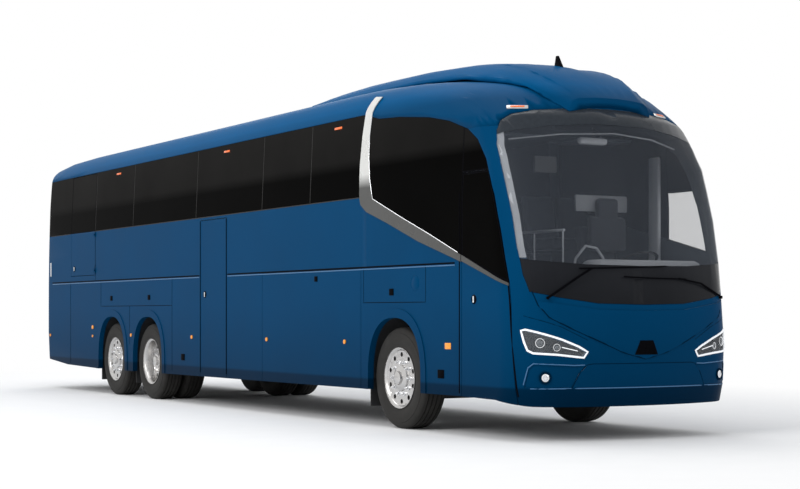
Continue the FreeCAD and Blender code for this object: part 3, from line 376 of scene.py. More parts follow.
SLOT_FINISH = {
    "blue_paint": "paint", "glass": "side_glass", "tyre": "tyre", "polished_aluminium": "aluminium",
    "cast_iron": "iron", "black_steel": "steel", "dark_plastic": "plastic", "rubber": "rubber",
    "floor_covering": "floor", "seat_fabric": "fabric", "chrome": "chrome", "lamp_glass": "lens",
    "red_lens": "red", "amber_lens": "amber",
}
NODE_FINISH = {"windscreen": "windscreen", "front_door_glass": "side_glass", "dashboard": "cabin_grey",
               "luggage_racks": "cabin_grey", "chrome_bands": "band_chrome",
               "front_door_chrome": "band_chrome", "head_lamp_units": "black_paint",
               "handrails": "pale_trim", "wipers": "seal"}
# node: smoothing passes, station that it ends at, height above the body below which nothing moves
EASED = {"roof_pod": (10, 99.0, 0.05), "roof": (6, 0.4)}
LONG_EDGE = 0.12
KEPT_CORNER = math.radians(28)
SHADING_PASSES = 12
SOFT_CREASE = {"roof": 50, "roof_pod": 80, "front_mask": 40, "windscreen": 60}
FLAT_NODES = {"engine_block", "underframe", "mud_flaps"}


def clear_of(place, foot):
    """True where a point stands higher than foot above the body, or where no foot is given."""
    return not foot or BODY.find_nearest(place)[3] > foot


def corners_kept(form):
    """Vertices on edges that are too sharp to be eased."""
    return {v for e in form.edges if e.calc_face_angle(1) > KEPT_CORNER for v in e.verts}


def eased(form, passes, front_of=99.0, foot=0.0):
    """Even out the facets of a curved shell; its sharp edges and its foot on the body stay put."""
    sharp = corners_kept(form)
    long_edges = [e for e in form.edges if e.calc_length() > LONG_EDGE and not set(e.verts) & sharp
                  and e.verts[0].co.y < at(front_of)]
    bmesh.ops.subdivide_edges(form, edges=long_edges, cuts=1)
    bmesh.ops.triangulate(form, faces=[f for f in form.faces if len(f.verts) > 4])
    sharp = corners_kept(form)
    free = [v for v in form.verts if v not in sharp and v.co.y < at(front_of) and clear_of(v.co, foot)]
    for _ in range(passes):
        bmesh.ops.smooth_vert(form, verts=free, factor=0.5, use_axis_x=True, use_axis_y=True, use_axis_z=True)
    return form


def even_shading(piece, passes):
    """Spread the normals of a curved shell over its neighbours; corners keep their own."""
    mesh = piece.data
    sharp = {v for e in mesh.edges if e.use_edge_sharp for v in e.vertices}
    near = {v.index: [] for v in mesh.vertices if v.index not in sharp}
    for edge in mesh.edges:
        a, b = edge.vertices
        if a in near and b in near:
            near[a].append(b)
            near[b].append(a)
    normals = {n: mesh.vertices[n].normal.copy() for n in near}
    for _ in range(passes):
        normals = {n: sum((normals[m] for m in others), normals[n].copy()).normalized()
                   for n, others in near.items()}
    none = Vector((0, 0, 0))
    mesh.normals_split_custom_set_from_vertices([normals.get(v.index, none) for v in mesh.vertices])


def dress_nodes(skip):
    """Each CAD node is shown as a smooth-shaded copy, or as it is where it has only flat faces."""
    slots = record_slots()
    for node, thing in frame["nodes"].items():
        slot = slots[node]
        finish = NODE_FINISH.get(node, SLOT_FINISH[slot])
        thing.data.materials.clear()
        thing.data.materials.append(FINISHES[finish])
        if node in FLAT_NODES or node in skip:
            continue
        crease = math.radians(SOFT_CREASE[node]) if node in SOFT_CREASE else CREASE
        form = copied(node)
        if node in EASED:
            eased(form, *EASED[node])
        skin = settle(form, node + "_skin", thing["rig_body"], finish, (node,), crease)
        if node in EASED:
            even_shading(skin, SHADING_PASSES)


# Painting regions of a piece, with lines given in side view (station, height) or front view (x, height)

def cut_along(form, line, flat):
    """Cut the faces of a form along a polyline; flat is 1 for side view and 0 for front view."""
    for point in line:
        bmesh.ops.bisect_plane(form, geom=form.verts[:] + form.edges[:] + form.faces[:],
                               plane_co=spot(point, flat), plane_no=(1 - flat, flat, 0))
    for start, end in zip(line, line[1:]):
        low, high = spot(start, flat)[flat], spot(end, flat)[flat]
        faces = [f for f in form.faces if low < f.calc_center_median()[flat] < high]
        geom = list({v for f in faces for v in f.verts} | {e for f in faces for e in f.edges} | set(faces))
        along = spot(end, flat) - spot(start, flat)
        normal = along.cross(Vector((1, 0, 0)) if flat else Vector((0, 1, 0)))
        bmesh.ops.bisect_plane(form, geom=geom, plane_co=spot(start, flat), plane_no=normal)


def spot(point, flat):
    """A point of side view or front view, on the middle plane that it belongs to."""
    return Vector((0, at(point[0]), point[1])) if flat else Vector((point[0], 0, point[1]))


def height_on(line, place):
    """Height of a line at a place along it, or None beyond its ends."""
    for start, end in zip(line, line[1:]):
        if start[0] <= place <= end[0]:
            return start[1] + (end[1] - start[1]) * (place - start[0]) / (end[0] - start[0])
    return None


def paint_part(piece, finish, line, flat, above, other=None):
    """Give faces above or below a line, and on the near side of another, a further finish."""
    form = bmesh.new()
    form.from_mesh(piece.data)
    for run in (line, other):
        if run:
            cut_along(form, run, flat)
    index = len(piece.data.materials)
    for face in form.faces:
        middle = face.calc_center_median()
        place = middle.y - FRONT_AXLE_Y if flat else middle.x
        level, limit = height_on(line, place), height_on(other, place) if other else None
        if level is None or (other and limit is None):
            continue
        inside = middle.z > level if above else middle.z < level
        if inside and (limit is None or (middle.z < limit if above else middle.z > limit)):
            face.material_index = index
    form.to_mesh(piece.data)
    form.free()
    piece.data.materials.append(FINISHES[finish])


BAND_LOW = [(0.6, 2.42), (11.3, 2.42)]
BAND_HIGH = [(0.6, 3.304), (11.3, 3.304)]
DOOR_LINE = [(-2.2, 1.45), (-1.309, 1.70), (0.587, 2.261), (0.7, 2.36)]
SCREEN_FOOT = [(-1.25, 1.71), (-1.1, 1.675), (-0.6, 1.64), (0, 1.632), (0.6, 1.64), (1.1, 1.675),
               (1.25, 1.71)]
SCREEN_HEAD = [(-1.25, 2.84), (-1.112, 2.895), (-0.754, 2.954), (-0.266, 2.985), (0.336, 2.98), (0.81, 2.937),
               (1.112, 2.895), (1.25, 2.84)]


# (node, finish, line, 1 for side view or 0 for front view, above the line, line that ends it)
PAINTED = [
    ("side_wall_right", "seal", BAND_LOW, 1, True, BAND_HIGH),
    ("side_wall_right", "seal", DOOR_LINE, 1, True),
    ("side_wall_left", "seal", BAND_LOW, 1, True, BAND_HIGH),
    ("side_wall_left", "seal", DOOR_LINE, 1, True),
    ("front_door", "seal", [(-2.2, 1.417), (-1.25, 1.72)], 1, True),
    ("emergency_door", "seal", BAND_LOW, 1, True),
    ("rear_wall", "seal", [(9, 2.42), (12, 2.42)], 1, True),
    ("windscreen", "frit", SCREEN_FOOT, 0, False),
    ("windscreen", "sun_band", SCREEN_HEAD, 0, True),
    ("windows_left", "clear_glass", [(-2.1, 1.70), (-1.27, 1.70)], 1, True, [(-2.1, 2.44), (-1.27, 2.44)]),
]


def paint_regions():
    """Black borders that join the side windows into one band, the windscreen's borders and the cab window."""
    for node, *region in PAINTED:
        paint_part(bpy.data.objects[node + "_skin"], *region)


# Lines and small pieces that lie on the body's outside

SHELL = ["roof", "side_wall_right", "side_wall_left", "skirt_right", "skirt_left", "front_mask", "rear_wall",
         "front_door", "middle_door", "emergency_door", "hold_door_right", "hold_door_left", "engine_lid"]
OUTSIDE = SHELL + ["windscreen", "windows_right", "windows_left", "head_lamps", "front_door_glass"]
LEAST_HALF_WIDTH = 0.9


def body_surface():
    """The outside of the body as one surface to cast rays at."""
    form = bmesh.new()
    for node in OUTSIDE:
        form.from_mesh(frame["nodes"][node].data)
    tree = BVHTree.FromBMesh(form)
    form.free()
    return tree


def on_side(side):
    """Finds the body's outside from a station and a height; side is -1 on the right."""
    def hit(station, z):
        place, normal = BODY.ray_cast(Vector((side * 3, at(station), z)), Vector((-side, 0, 0)))[:2]
        return (place, normal) if place is not None and place.x * side > LEAST_HALF_WIDTH else (None, None)
    return hit


def on_nose(x, z):
    """The outside of the nose, seen from ahead at x and a height: a place and the normal there."""
    return BODY.ray_cast(Vector((x, at(-4), z)), Vector((0, 1, 0)))[:2]


def fine_run(points, step=0.09):
    """The same run with further points no more than a step apart."""
    run = [points[0]]
    for start, end in zip(points, points[1:]):
        count = max(1, math.ceil(math.dist(start, end) / step))
        run += [tuple(a + (b - a) * n / count for a, b in zip(start, end)) for n in range(1, count + 1)]
    return run


def line_piece(name, points, radius, finish, body="coach", closed=False):
    """Thin round line through points in space."""
    curve = bpy.data.curves.new(name, "CURVE")
    curve.dimensions = "3D"
    curve.bevel_depth = radius
    curve.bevel_resolution = 1
    curve.use_fill_caps = True
    spline = curve.splines.new("POLY")
    spline.points.add(len(points) - 1)
    for knot, point in zip(spline.points, points):
        knot.co = (*point, 1)
    spline.use_cyclic_u = closed
    curve.materials.append(FINISHES[finish])
    piece = placed(name, curve)
    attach(piece, body)


def draped(points, hit, lift=0.0):
    """Points of a run on the body, lifted off it along its normal."""
    laid = []
    for point in fine_run(points):
        place, normal = hit(*point)
        if place is not None:
            laid.append(place + normal * lift)
    return laid


def lozenge(name, middle, size, normal, finish, body="coach", edge=0.004):
    """Small block with rounded edges, laid against the body; size is (along, up, proud)."""
    form = bmesh.new()
    bmesh.ops.create_cube(form, size=1)
    bmesh.ops.scale(form, vec=(size[0], size[2], size[1]), verts=form.verts)
    rounded(form, min(edge, min(size) * 0.45))
    out = Vector(normal).normalized()
    up = (Vector((0, 0, 1)) - out * out.z).normalized()
    along = out.cross(up)
    turn = Matrix((along, out, up)).transposed().to_4x4()
    bmesh.ops.transform(form, matrix=Matrix.Translation(middle) @ turn, verts=form.verts)
    bmesh.ops.recalc_face_normals(form, faces=form.faces)
    return settle(form, name, body, finish)


# Wheels

TYRE_FACE = 1.225
TYRE_WIDTH = 0.295
TWIN_SPACING = 0.335
HAND_HOLES = 10
HOLE_RADIUS = 0.025
NUT_CIRCLE = 0.1675
STEPS_PER_HOLE = 8
HOLE_ROWS = [0.270, 0.256, 0.242, 0.228, 0.214]

SIDEWALL = [(-0.030, 0.2925), (-0.020, 0.300), (-0.019, 0.316), (-0.014, 0.318), (-0.012, 0.324),
            (-0.014, 0.332), (-0.007, 0.352), (-0.002, 0.380), (0.0, 0.405), (-0.001, 0.430),
            (-0.004, 0.452), (-0.004, 0.460), (-0.009, 0.463), (-0.012, 0.478), (-0.020, 0.500),
            (-0.030, 0.513), (-0.043, 0.519)]
GROOVES = [-0.073, -0.122, -0.173, -0.222]
GROOVE_HALF, GROOVE_FOOT, GROOVE_DEPTH = 0.006, 0.004, 0.013
TREAD_RADIUS = 0.5215


def tyre_ring():
    """Section of a road tyre: sidewalls with raised rings, and grooves between the ribs of the tread."""
    tread = []
    for middle in GROOVES:
        tread += [(middle + GROOVE_HALF, TREAD_RADIUS), (middle + GROOVE_FOOT, TREAD_RADIUS - GROOVE_DEPTH),
                  (middle - GROOVE_FOOT, TREAD_RADIUS - GROOVE_DEPTH), (middle - GROOVE_HALF, TREAD_RADIUS)]
    far = [(-TYRE_WIDTH - out, radius) for out, radius in reversed(SIDEWALL)]
    return SIDEWALL + tread + far


def rim_front(disc, hub):
    """Front of a rim from the hub cap out to the lip; disc and hub are distances out from the tyre's face."""
    rows = [(disc, radius) for radius in reversed(HOLE_ROWS)]
    return [(hub, 0), (hub, 0.05), (hub - 0.008, 0.068), (hub - 0.03, 0.074), (hub - 0.034, 0.1),
            (disc + 0.024, 0.118), (disc + 0.02, 0.13), (disc + 0.004, 0.136), (disc - 0.002, 0.198),
            *rows, (disc + 0.006, 0.276), (-0.034, 0.283), (-0.024, 0.290), (-0.018, 0.302), (-0.012, 0.313),
            (-0.008, 0.314), (-0.007, 0.31)]


def rim_back(disc, hub, hub_back):
    """Back of the same rim, from the lip round the barrel to the bore."""
    rows = [(disc - 0.014, radius) for radius in HOLE_ROWS]
    return [(-0.017, 0.311), (-0.024, 0.300), (-0.031, 0.2915), (-TYRE_WIDTH + 0.03, 0.2915),
            (-TYRE_WIDTH + 0.03, 0.280), (disc - 0.03, 0.274), *rows, (disc - 0.014, 0.198),
            (disc - 0.03, 0.14), (hub_back, 0.13), (hub_back, 0.047), (hub - 0.011, 0.047), (hub - 0.011, 0)]


def spun(points, centre, axis, steps, closed=False, weld=1e-6):
    """A run of points turned once round an axis."""
    form = bmesh.new()
    verts = [form.verts.new(point) for point in points]
    ends = verts[1:] + verts[:1] if closed else verts[1:]
    edges = [form.edges.new(pair) for pair in zip(verts, ends)]
    bmesh.ops.spin(form, geom=verts + edges, cent=centre, axis=axis, angle=FULL_TURN, steps=steps,
                   use_merge=True)
    bmesh.ops.remove_doubles(form, verts=form.verts, dist=weld)
    bmesh.ops.recalc_face_normals(form, faces=form.faces)
    return form


def turned(run, station, side, steps, closed=True):
    """Turn a run of (distance out, radius) points once round an axle."""
    points = [(side * (TYRE_FACE + out), at(station), AXLE_Z + radius) for out, radius in run]
    return spun(points, (0, at(station), AXLE_Z), (1, 0, 0), steps, closed, weld=1e-5)


def pierce(form, station):
    """Round hand holes through the disc: drop patches of faces, round their edges and join front to back."""
    axle = Vector((0, at(station), AXLE_Z))
    middle_radius = (HOLE_ROWS[0] + HOLE_ROWS[-1]) / 2
    half_turn = FULL_TURN / HAND_HOLES / STEPS_PER_HOLE * 2.1
    for n in range(HAND_HOLES):
        turn = FULL_TURN * n / HAND_HOLES
        centre = axle + Vector((0, math.sin(turn), math.cos(turn))) * middle_radius
        patch = []
        for face in form.faces:
            arm = face.calc_center_median() - axle
            arm.x = 0
            off = (math.atan2(arm.y, arm.z) - turn + math.pi) % FULL_TURN - math.pi
            in_rows = HOLE_ROWS[-1] < arm.length < HOLE_ROWS[0]
            if abs(off) < half_turn and in_rows and abs(face.normal.x) > 0.9:
                patch.append(face)
        rim = {e for f in patch for e in f.edges if sum(g in patch for g in e.link_faces) == 1}
        for vert in {v for e in rim for v in e.verts}:
            arm = vert.co - centre
            arm.x = 0
            vert.co += arm.normalized() * HOLE_RADIUS - arm
        bmesh.ops.delete(form, geom=patch, context="FACES")
        bmesh.ops.bridge_loops(form, edges=list(rim))


# (radius, radius at the tip, depth, segments, distance out) of a washer, its nut and the stud
NUT_PARTS = [(0.024, 0.022, 0.006, 20, 0.003), (0.0175, 0.0155, 0.022, 6, 0.017),
             (0.0125, 0.009, 0.016, 14, 0.034)]


def nuts(station, side, disc):
    """Wheel nuts with washers, evenly round the hub."""
    form = bmesh.new()
    for n in range(HAND_HOLES):
        turn = FULL_TURN * (n + 0.5) / HAND_HOLES
        place = Vector((side * (TYRE_FACE + disc), at(station) + math.sin(turn) * NUT_CIRCLE,
                        AXLE_Z + math.cos(turn) * NUT_CIRCLE))
        lie = Matrix.Rotation(side * math.pi / 2, 4, "Y")
        for radius, tip, depth, segments, out in NUT_PARTS:
            seat = Matrix.Translation(place + Vector((side * out, 0, 0))) @ lie
            bmesh.ops.create_cone(form, cap_ends=True, segments=segments, radius1=radius, radius2=tip,
                                  depth=depth, matrix=seat)
    return form


# (axle, station, disc, hub, hub back, twin, body)
AXLES = [("front", 0.0, -0.040, 0.026, -0.243, False, "front_wheel_{}_body"),
         ("drive", DRIVE_AXLE, -0.150, -0.045, -0.352, True, "drive_wheels_{}_body"),
         ("tag", TAG_AXLE, -0.040, 0.020, -0.243, False, "tag_wheel_{}_body")]
INNER_BARREL = [(-0.031, 0.2915), (-0.265, 0.2915), (-0.265, 0.280), (-0.08, 0.274), (-0.07, 0.14),
                (-0.058, 0.14), (-0.062, 0.27), (-0.034, 0.281)]
REBUILT = {f"{axle[0]}_{part}_{hand}" for axle in AXLES for part in ("tyre", "wheel") for _, hand in SIDES} \
    | {"seats", "seat_backs"}


def make_wheels():
    """Tyres and forged rims in place of the plain ones; the drive axle has a second pair within."""
    for axle, station, disc, hub, hub_back, twin, body in AXLES:
        for side, hand in SIDES:
            body_here = body.format(hand)
            tyre = turned(tyre_ring(), station, side, 96)
            rim = turned(rim_front(disc, hub) + rim_back(disc, hub, hub_back), station, side,
                         HAND_HOLES * STEPS_PER_HOLE, closed=False)
            pierce(rim, station)
            settle(rim, f"{axle}_rim_{hand}", body_here, "aluminium", stands_for=(f"{axle}_wheel_{hand}",))
            settle(nuts(station, side, disc), f"{axle}_nuts_{hand}", body_here, "chrome")
            settle(tyre, f"{axle}_road_tyre_{hand}", body_here, "tyre", stands_for=(f"{axle}_tyre_{hand}",))
            for part, run, steps, finish in (("tyre", tyre_ring(), 72, "tyre"),
                                             ("rim", INNER_BARREL, 64, "aluminium")) if twin else ():
                inner = turned([(out - TWIN_SPACING, radius) for out, radius in run], station, side, steps)
                settle(inner, f"{axle}_inner_{part}_{hand}", body_here, finish)


# Lines along the sides

MOULDING = 1.675
# (name, points as station and height)
SIDE_SEAMS = [
    ("front_flap_seam", [(-0.63, 1.66), (-0.63, 1.30), (0.655, 1.30), (0.655, 1.66)]),
    ("rear_flap_seam", [(6.01, 1.66), (6.01, 1.295), (8.79, 1.295), (8.79, 1.66)]),
    ("panel_seam_6", [(6.01, 1.295), (6.01, 0.42)]),
    ("panel_seam_7", [(7.60, 1.295), (7.60, 0.75)]),
    ("panel_seam_10", [(10.17, 1.66), (10.17, 0.42)]),
    ("band_seam_9", [(9.03, 2.41), (9.03, 1.69)]),
]
PILLAR_EDGE = [(-2.172, 0.42), (-2.092, 1.3), (-2.067, 1.48), (-1.946, 1.96), (-1.845, 2.291), (-1.76, 2.483)]
# (name, body, points just inside the leaf's edge)
DOOR_EDGES = [
    ("front_door_edge_rear", "front_door_body", [(-1.266, 0.42), (-1.266, 2.35)]),
    ("front_door_edge_front", "front_door_body", PILLAR_EDGE),
    ("middle_door_edge_front", "middle_door_body", [(4.226, 0.43), (4.226, 2.37)]),
    ("middle_door_edge_rear", "middle_door_body", [(5.046, 0.43), (5.046, 2.37)]),
]
BAND_FOOT = [(0.72, 2.42), (11.1, 2.42)]
GLASS_LOW, GLASS_HIGH = 2.43, 3.29
# Radius of each kind of line, and how far its middle lies below the skin
DOOR_SEAM, DOOR_SEAM_SUNK = 0.0092, 0.002
PANEL_SEAM, PANEL_SEAM_SUNK = 0.004, 0.0015
GLASS_SEAM, GLASS_SEAM_SUNK = 0.006, 0.003
MOULDING_SUNK_SHARE = 0.55
# Stations
GLASS_JOINTS = [1.914, 3.182, 5.189, 7.464, 9.03]
MOULDING_RUNS = {-1: [(-1.18, 4.19), (5.08, 11.05)], 1: [(-1.18, 11.05)]}


def make_side_lines():
    """Moulding groove with a painted highlight along its lower edge, door edges, glass joints and panel
    seams.
    """
    for side, hand in SIDES:
        hit = on_side(side)
        for n, (start, end) in enumerate(MOULDING_RUNS[side]):
            # The edge line is a painted highlight below the dark groove.
            for part, z, radius, finish in (("groove", MOULDING, 0.011, "seal"),
                                            ("edge", MOULDING - 0.021, 0.008, "edge_paint")):
                run = draped([(start, z), (end, z)], hit, -radius * MOULDING_SUNK_SHARE)
                line_piece(f"moulding_{part}_{hand}_{n}", run, radius, finish)
        if side < 0:
            for name, body, points in DOOR_EDGES:
                line_piece(name, draped(points, hit, -DOOR_SEAM_SUNK), DOOR_SEAM, "seal", body)
        for n, station in enumerate(GLASS_JOINTS):
            run = draped([(station, GLASS_LOW), (station, GLASS_HIGH)], hit, -GLASS_SEAM_SUNK)
            line_piece(f"glass_joint_{n}_{hand}", run, GLASS_SEAM, "joint_grey")
        line_piece(f"band_edge_{hand}", draped(BAND_FOOT, hit, -GLASS_SEAM_SUNK), GLASS_SEAM, "joint_grey")
        for name, points in SIDE_SEAMS:
            run = draped(points, hit, -PANEL_SEAM_SUNK)
            line_piece(f"{name}_{hand}", run, PANEL_SEAM, "seal")


# (name, station, height, size along, size up, finish, slot, body)
FITTINGS = [
    ("hold_latch", 1.765, 1.572, 0.075, 0.06, "seal", "dark_plastic", "hold_door_{}_body"),
    ("skirt_latch_front", -0.926, 0.593, 0.12, 0.085, "seal", "dark_plastic", "coach"),
    ("flap_latch_front", 0.055, 1.407, 0.09, 0.07, "seal", "dark_plastic", "coach"),
    ("skirt_latch_rear", 5.627, 0.611, 0.12, 0.085, "seal", "dark_plastic", "coach"),
    ("flap_latch_drive", 6.848, 1.41, 0.09, 0.07, "seal", "dark_plastic", "coach"),
    ("flap_latch_tag", 8.339, 1.41, 0.09, 0.07, "seal", "dark_plastic", "coach"),
    ("front_marker", -1.057, 0.869, 0.11, 0.062, "amber", "amber_lens", "coach"),
    ("band_lamp_1", 1.292, 3.215, 0.17, 0.026, "orange", "amber_lens", "coach"),
    ("band_lamp_4", 4.283, 3.215, 0.17, 0.026, "orange", "amber_lens", "coach"),
    ("band_lamp_8", 8.122, 3.215, 0.17, 0.026, "orange", "amber_lens", "coach"),
    ("rear_reflector", 11.13, 1.89, 0.05, 0.22, "pale_trim", "lamp_glass", "coach"),
]
# (name, station, height, body): flush door handles on the right
HANDLES = [("front_door_handle", -1.527, 1.32, "front_door_body"),
           ("middle_door_handle", 4.895, 1.43, "middle_door_body"),
           ("emergency_door_handle", 9.984, 1.875, "emergency_door_body")]


def disc_piece(name, place, normal, run, finish, slot=None, body="coach", steps=28):
    """Small round piece turned from a run of (radius, proud) points and laid against the body."""
    form = spun([(radius, 0, proud) for radius, proud in run], (0, 0, 0), (0, 0, 1), steps)
    lie = Vector(normal).to_track_quat("Z", "Y").to_matrix().to_4x4()
    bmesh.ops.transform(form, matrix=Matrix.Translation(place) @ lie, verts=form.verts)
    return settle(form, name, body, finish)


BAND_INNER = [(-1.25, 1.772), (-0.713, 1.972), (-0.156, 2.167), (0.446, 2.389), (0.521, 2.613),
              (0.554, 2.823), (0.558, 3.062), (0.519, 3.30)]
FILLER_PLACE = (-0.42, 1.49)
# Runs of (radius, proud) that small round pieces are turned from
FILLER_CAP = [(0, 0.003), (0.062, 0.003), (0.068, 0.0005), (0.074, 0.0005), (0.078, 0.003), (0.082, 0.0005),
              (0.082, -0.006), (0, -0.006)]
HANDLE_DISH = [(0, 0.001), (0.03, 0.001), (0.036, 0.004), (0.042, 0.004), (0.045, 0.0), (0.045, -0.006),
               (0, -0.006)]
FOG_RING = [(0.04, 0.004), (0.045, 0.01), (0.054, 0.01), (0.059, 0.004), (0.059, -0.01), (0.04, -0.01),
            (0.04, 0.004)]
FOG_LENS = [(0, 0.008), (0.015, 0.0075), (0.018, 0.003), (0.022, 0.003), (0.026, 0.008), (0.036, 0.005),
            (0.038, -0.006), (0, -0.006)]
# The same with the radius as a share of the projector's
PROJECTOR_RING = [(0.72, 0.004), (0.8, 0.010), (0.95, 0.010), (1, 0.002), (0.95, -0.02), (0.72, -0.02),
                  (0.72, 0.004)]
PROJECTOR_LENS = [(0, 0.014), (0.3, 0.012), (0.55, 0.006), (0.7, -0.004), (0.7, -0.015), (0, -0.015)]
MARKER_DISCS = (1.074, 3.043)
DISC_HEIGHT, DISC_REACH = 0.88, 0.04


def make_side_fittings():
    """Latches, markers, lamps in the glass band, reflectors, filler cap and door handles."""
    for side, hand in SIDES:
        hit = on_side(side)
        for name, station, z, along, up, finish, slot, body in FITTINGS:
            place, normal = hit(station, z)
            lozenge(f"{name}_{hand}", place + normal * 0.001, (along, up, 0.010), normal, finish,
                    body.format(hand), edge=0.006)
        line_piece(f"band_glint_{hand}", draped(BAND_INNER, hit, 0.0075), 0.005, "chrome")
        disc_piece(f"filler_cap_{hand}", *hit(*FILLER_PLACE), FILLER_CAP, "paint", steps=48)
    hit = on_side(-1)
    for name, station, z, body in HANDLES:
        place, normal = hit(station, z)
        disc_piece(name + "_dish", place, normal, HANDLE_DISH, "seal", body=body)
        lozenge(name, place + normal * 0.006, (0.022, 0.062, 0.012), normal, "chrome", body=body)
    for side, hand in SIDES:
        paint_discs(bpy.data.objects[f"hold_door_{hand}_skin"], "amber", side)


def paint_discs(piece, finish, side):
    """Give the two marker discs that stand proud of a hold door their own finish."""
    piece.data.materials.append(FINISHES[finish])
    for face in piece.data.polygons:
        place = face.center
        for station in MARKER_DISCS:
            off = math.hypot(place.y - at(station), place.z - DISC_HEIGHT)
            if off < DISC_REACH and place.x * side > HALF_WIDTH - 0.0005:
                face.material_index = 1


# Nose

LAMP_RING = [(-1.199, 1.029), (-1.173, 1.038), (-0.892, 0.948), (-0.723, 0.880), (-0.635, 0.833),
             (-0.673, 0.779), (-0.923, 0.808), (-1.126, 0.822), (-1.164, 0.848), (-1.185, 0.928)]
BONNET_LINE = [(-1.117, 1.391), (-1.08, 1.263), (-1.0, 1.153), (-0.815, 1.06), (-0.53, 0.935),
               (-0.251, 0.822), (0, 0.762), (0.251, 0.822), (0.53, 0.935), (0.815, 1.06), (1.0, 1.153),
               (1.08, 1.263), (1.117, 1.391)]
LAMP_CREASE = [(-1.18, 1.165), (-1.146, 1.149), (-0.886, 1.062), (-0.633, 0.94)]
LOWER_PANEL = [(-0.781, 0.495), (-0.712, 0.632), (-0.635, 0.712), (-0.575, 0.722), (0.575, 0.722),
               (0.635, 0.712), (0.712, 0.632), (0.781, 0.495)]
SENSOR = [(-0.135, 0.802), (0.135, 0.802), (0.076, 0.932), (-0.076, 0.932)]
LAMP_BAR = [(-0.888, 0.876), (-0.735, 0.842)]
BUMPER_CREASE = [(-1.14, 0.497), (1.14, 0.497)]
ROOF_LAMPS = [("right", -0.905), ("left", 0.72)]
ROOF_LAMP_HEIGHT = 3.145
# (x, height, radius)
PROJECTORS = [(1.077, 0.916, 0.047), (0.936, 0.875, 0.036)]
PROJECTOR_DEPTH = 0.02
PROJECTOR_PARTS = [("ring", PROJECTOR_RING, "chrome"), ("lens", PROJECTOR_LENS, "projector_glass")]
FOG_LAMP = (1.03, 0.597)
POCKET_TOP = [(-1.183, 0.53), (-1.158, 0.69), (-1.122, 0.727), (-0.758, 0.709), (-0.66, 0.712)]


PATCH_CUTS = 8


def patch(name, corners, hit, finish, lift):
    """Thin sheet between four corners, laid on the body."""
    form = bmesh.new()
    bmesh.ops.create_grid(form, x_segments=PATCH_CUTS, y_segments=PATCH_CUTS, size=0.5)
    low_left, low_right, top_right, top_left = (Vector(c) for c in corners)
    for vert in form.verts:
        u, v = vert.co.x + 0.5, vert.co.y + 0.5
        flat = low_left.lerp(low_right, u).lerp(top_left.lerp(top_right, u), v)
        place, normal = hit(flat.x, flat.y)
        vert.co = place + normal * lift
    bmesh.ops.solidify(form, geom=form.faces[:], thickness=-0.003)
    bmesh.ops.recalc_face_normals(form, faces=form.faces)
    return settle(form, name, "coach", finish)


def handed(points, side):
    """A run given for the right-hand side, on either side."""
    return [(-side * x, z) for x, z in points]


def make_nose_details():
    """Lamp frames, projectors, fog lamps, bonnet and bumper lines of painted shade and highlight, sensor
    panel and roof lamps.
    """
    # Bonnet, lower panel and lamp crease lines are painted shade; the bumper crease and pocket edges are
    # painted highlights.
    # (name, points, sunk by, radius, finish)
    lines = [("bonnet_seam", BONNET_LINE, 0.001, 0.0055, "deep_paint"),
             ("lower_panel_seam", LOWER_PANEL, 0.001, 0.004, "deep_paint"),
             ("bumper_crease", BUMPER_CREASE, 0.001, 0.006, "edge_paint")]
    for side, hand in SIDES:
        lines += [(f"pocket_edge_{hand}", handed(POCKET_TOP, side), 0.001, 0.006, "edge_paint"),
                  (f"lamp_crease_{hand}", handed(LAMP_CREASE, side), 0.002, 0.004, "deep_paint")]
    for name, points, sunk, radius, finish in lines:
        line_piece(name, draped(points, on_nose, -sunk), radius, finish)
    patch("sensor_panel", SENSOR, on_nose, "seal", 0.002)
    for side, hand in SIDES:
        ring = handed(LAMP_RING, side)
        line_piece(f"lamp_frame_{hand}", draped(ring + ring[:1], on_nose, 0.002)[:-1], 0.0105, "lamp_white",
                   closed=True)
        line_piece(f"lamp_bar_{hand}", draped(handed(LAMP_BAR, side), on_nose, -0.002), 0.005, "lamp_white")
        for n, (x, z, radius) in enumerate(PROJECTORS):
            out = Vector((side * 0.45, -1, 0.05)).normalized()
            place = on_nose(side * x, z)[0] - out * PROJECTOR_DEPTH
            for part, run, finish in PROJECTOR_PARTS:
                points = [(radius * share, proud) for share, proud in run]
                disc_piece(f"projector_{part}_{hand}_{n}", place, out, points, finish)
        place = on_nose(side * FOG_LAMP[0], FOG_LAMP[1])[0]
        out = Vector((side * 0.35, -1, 0)).normalized()
        # Darker blue ring as painted shade in the fog lamp's recess.
        disc_piece(f"fog_lamp_ring_{hand}", place, out, FOG_RING, "deep_paint")
        disc_piece(f"fog_lamp_lens_{hand}", place, out, FOG_LENS, "chrome")
    for hand, x in ROOF_LAMPS:
        place, normal = on_nose(x, ROOF_LAMP_HEIGHT)
        lozenge(f"roof_lamp_rim_{hand}", place, (0.21, 0.055, 0.02), normal, "aluminium",
                edge=0.009)
        lozenge(f"roof_lamp_{hand}", place + normal * 0.008, (0.14, 0.024, 0.016), normal, "orange",
                edge=0.007)


# Cab and saloon

def is_covered(place, normal):
    """True for a face of the rebate that the windscreen lies on."""
    return BODY.ray_cast(place + normal * 0.0005, normal, 0.08)[0] is not None


SALOON_REACH = (-1.2, 10.2)
SALOON_HEART, HOLD_HEART = 1.9, 0.8
REBATE_LOW, REBATE_HIGH = 1.7, 2.95
# How far a face may look away from the heart of the bus and still count as an inner one
INWARD, INWARD_AT_NOSE = 0.35, -0.2


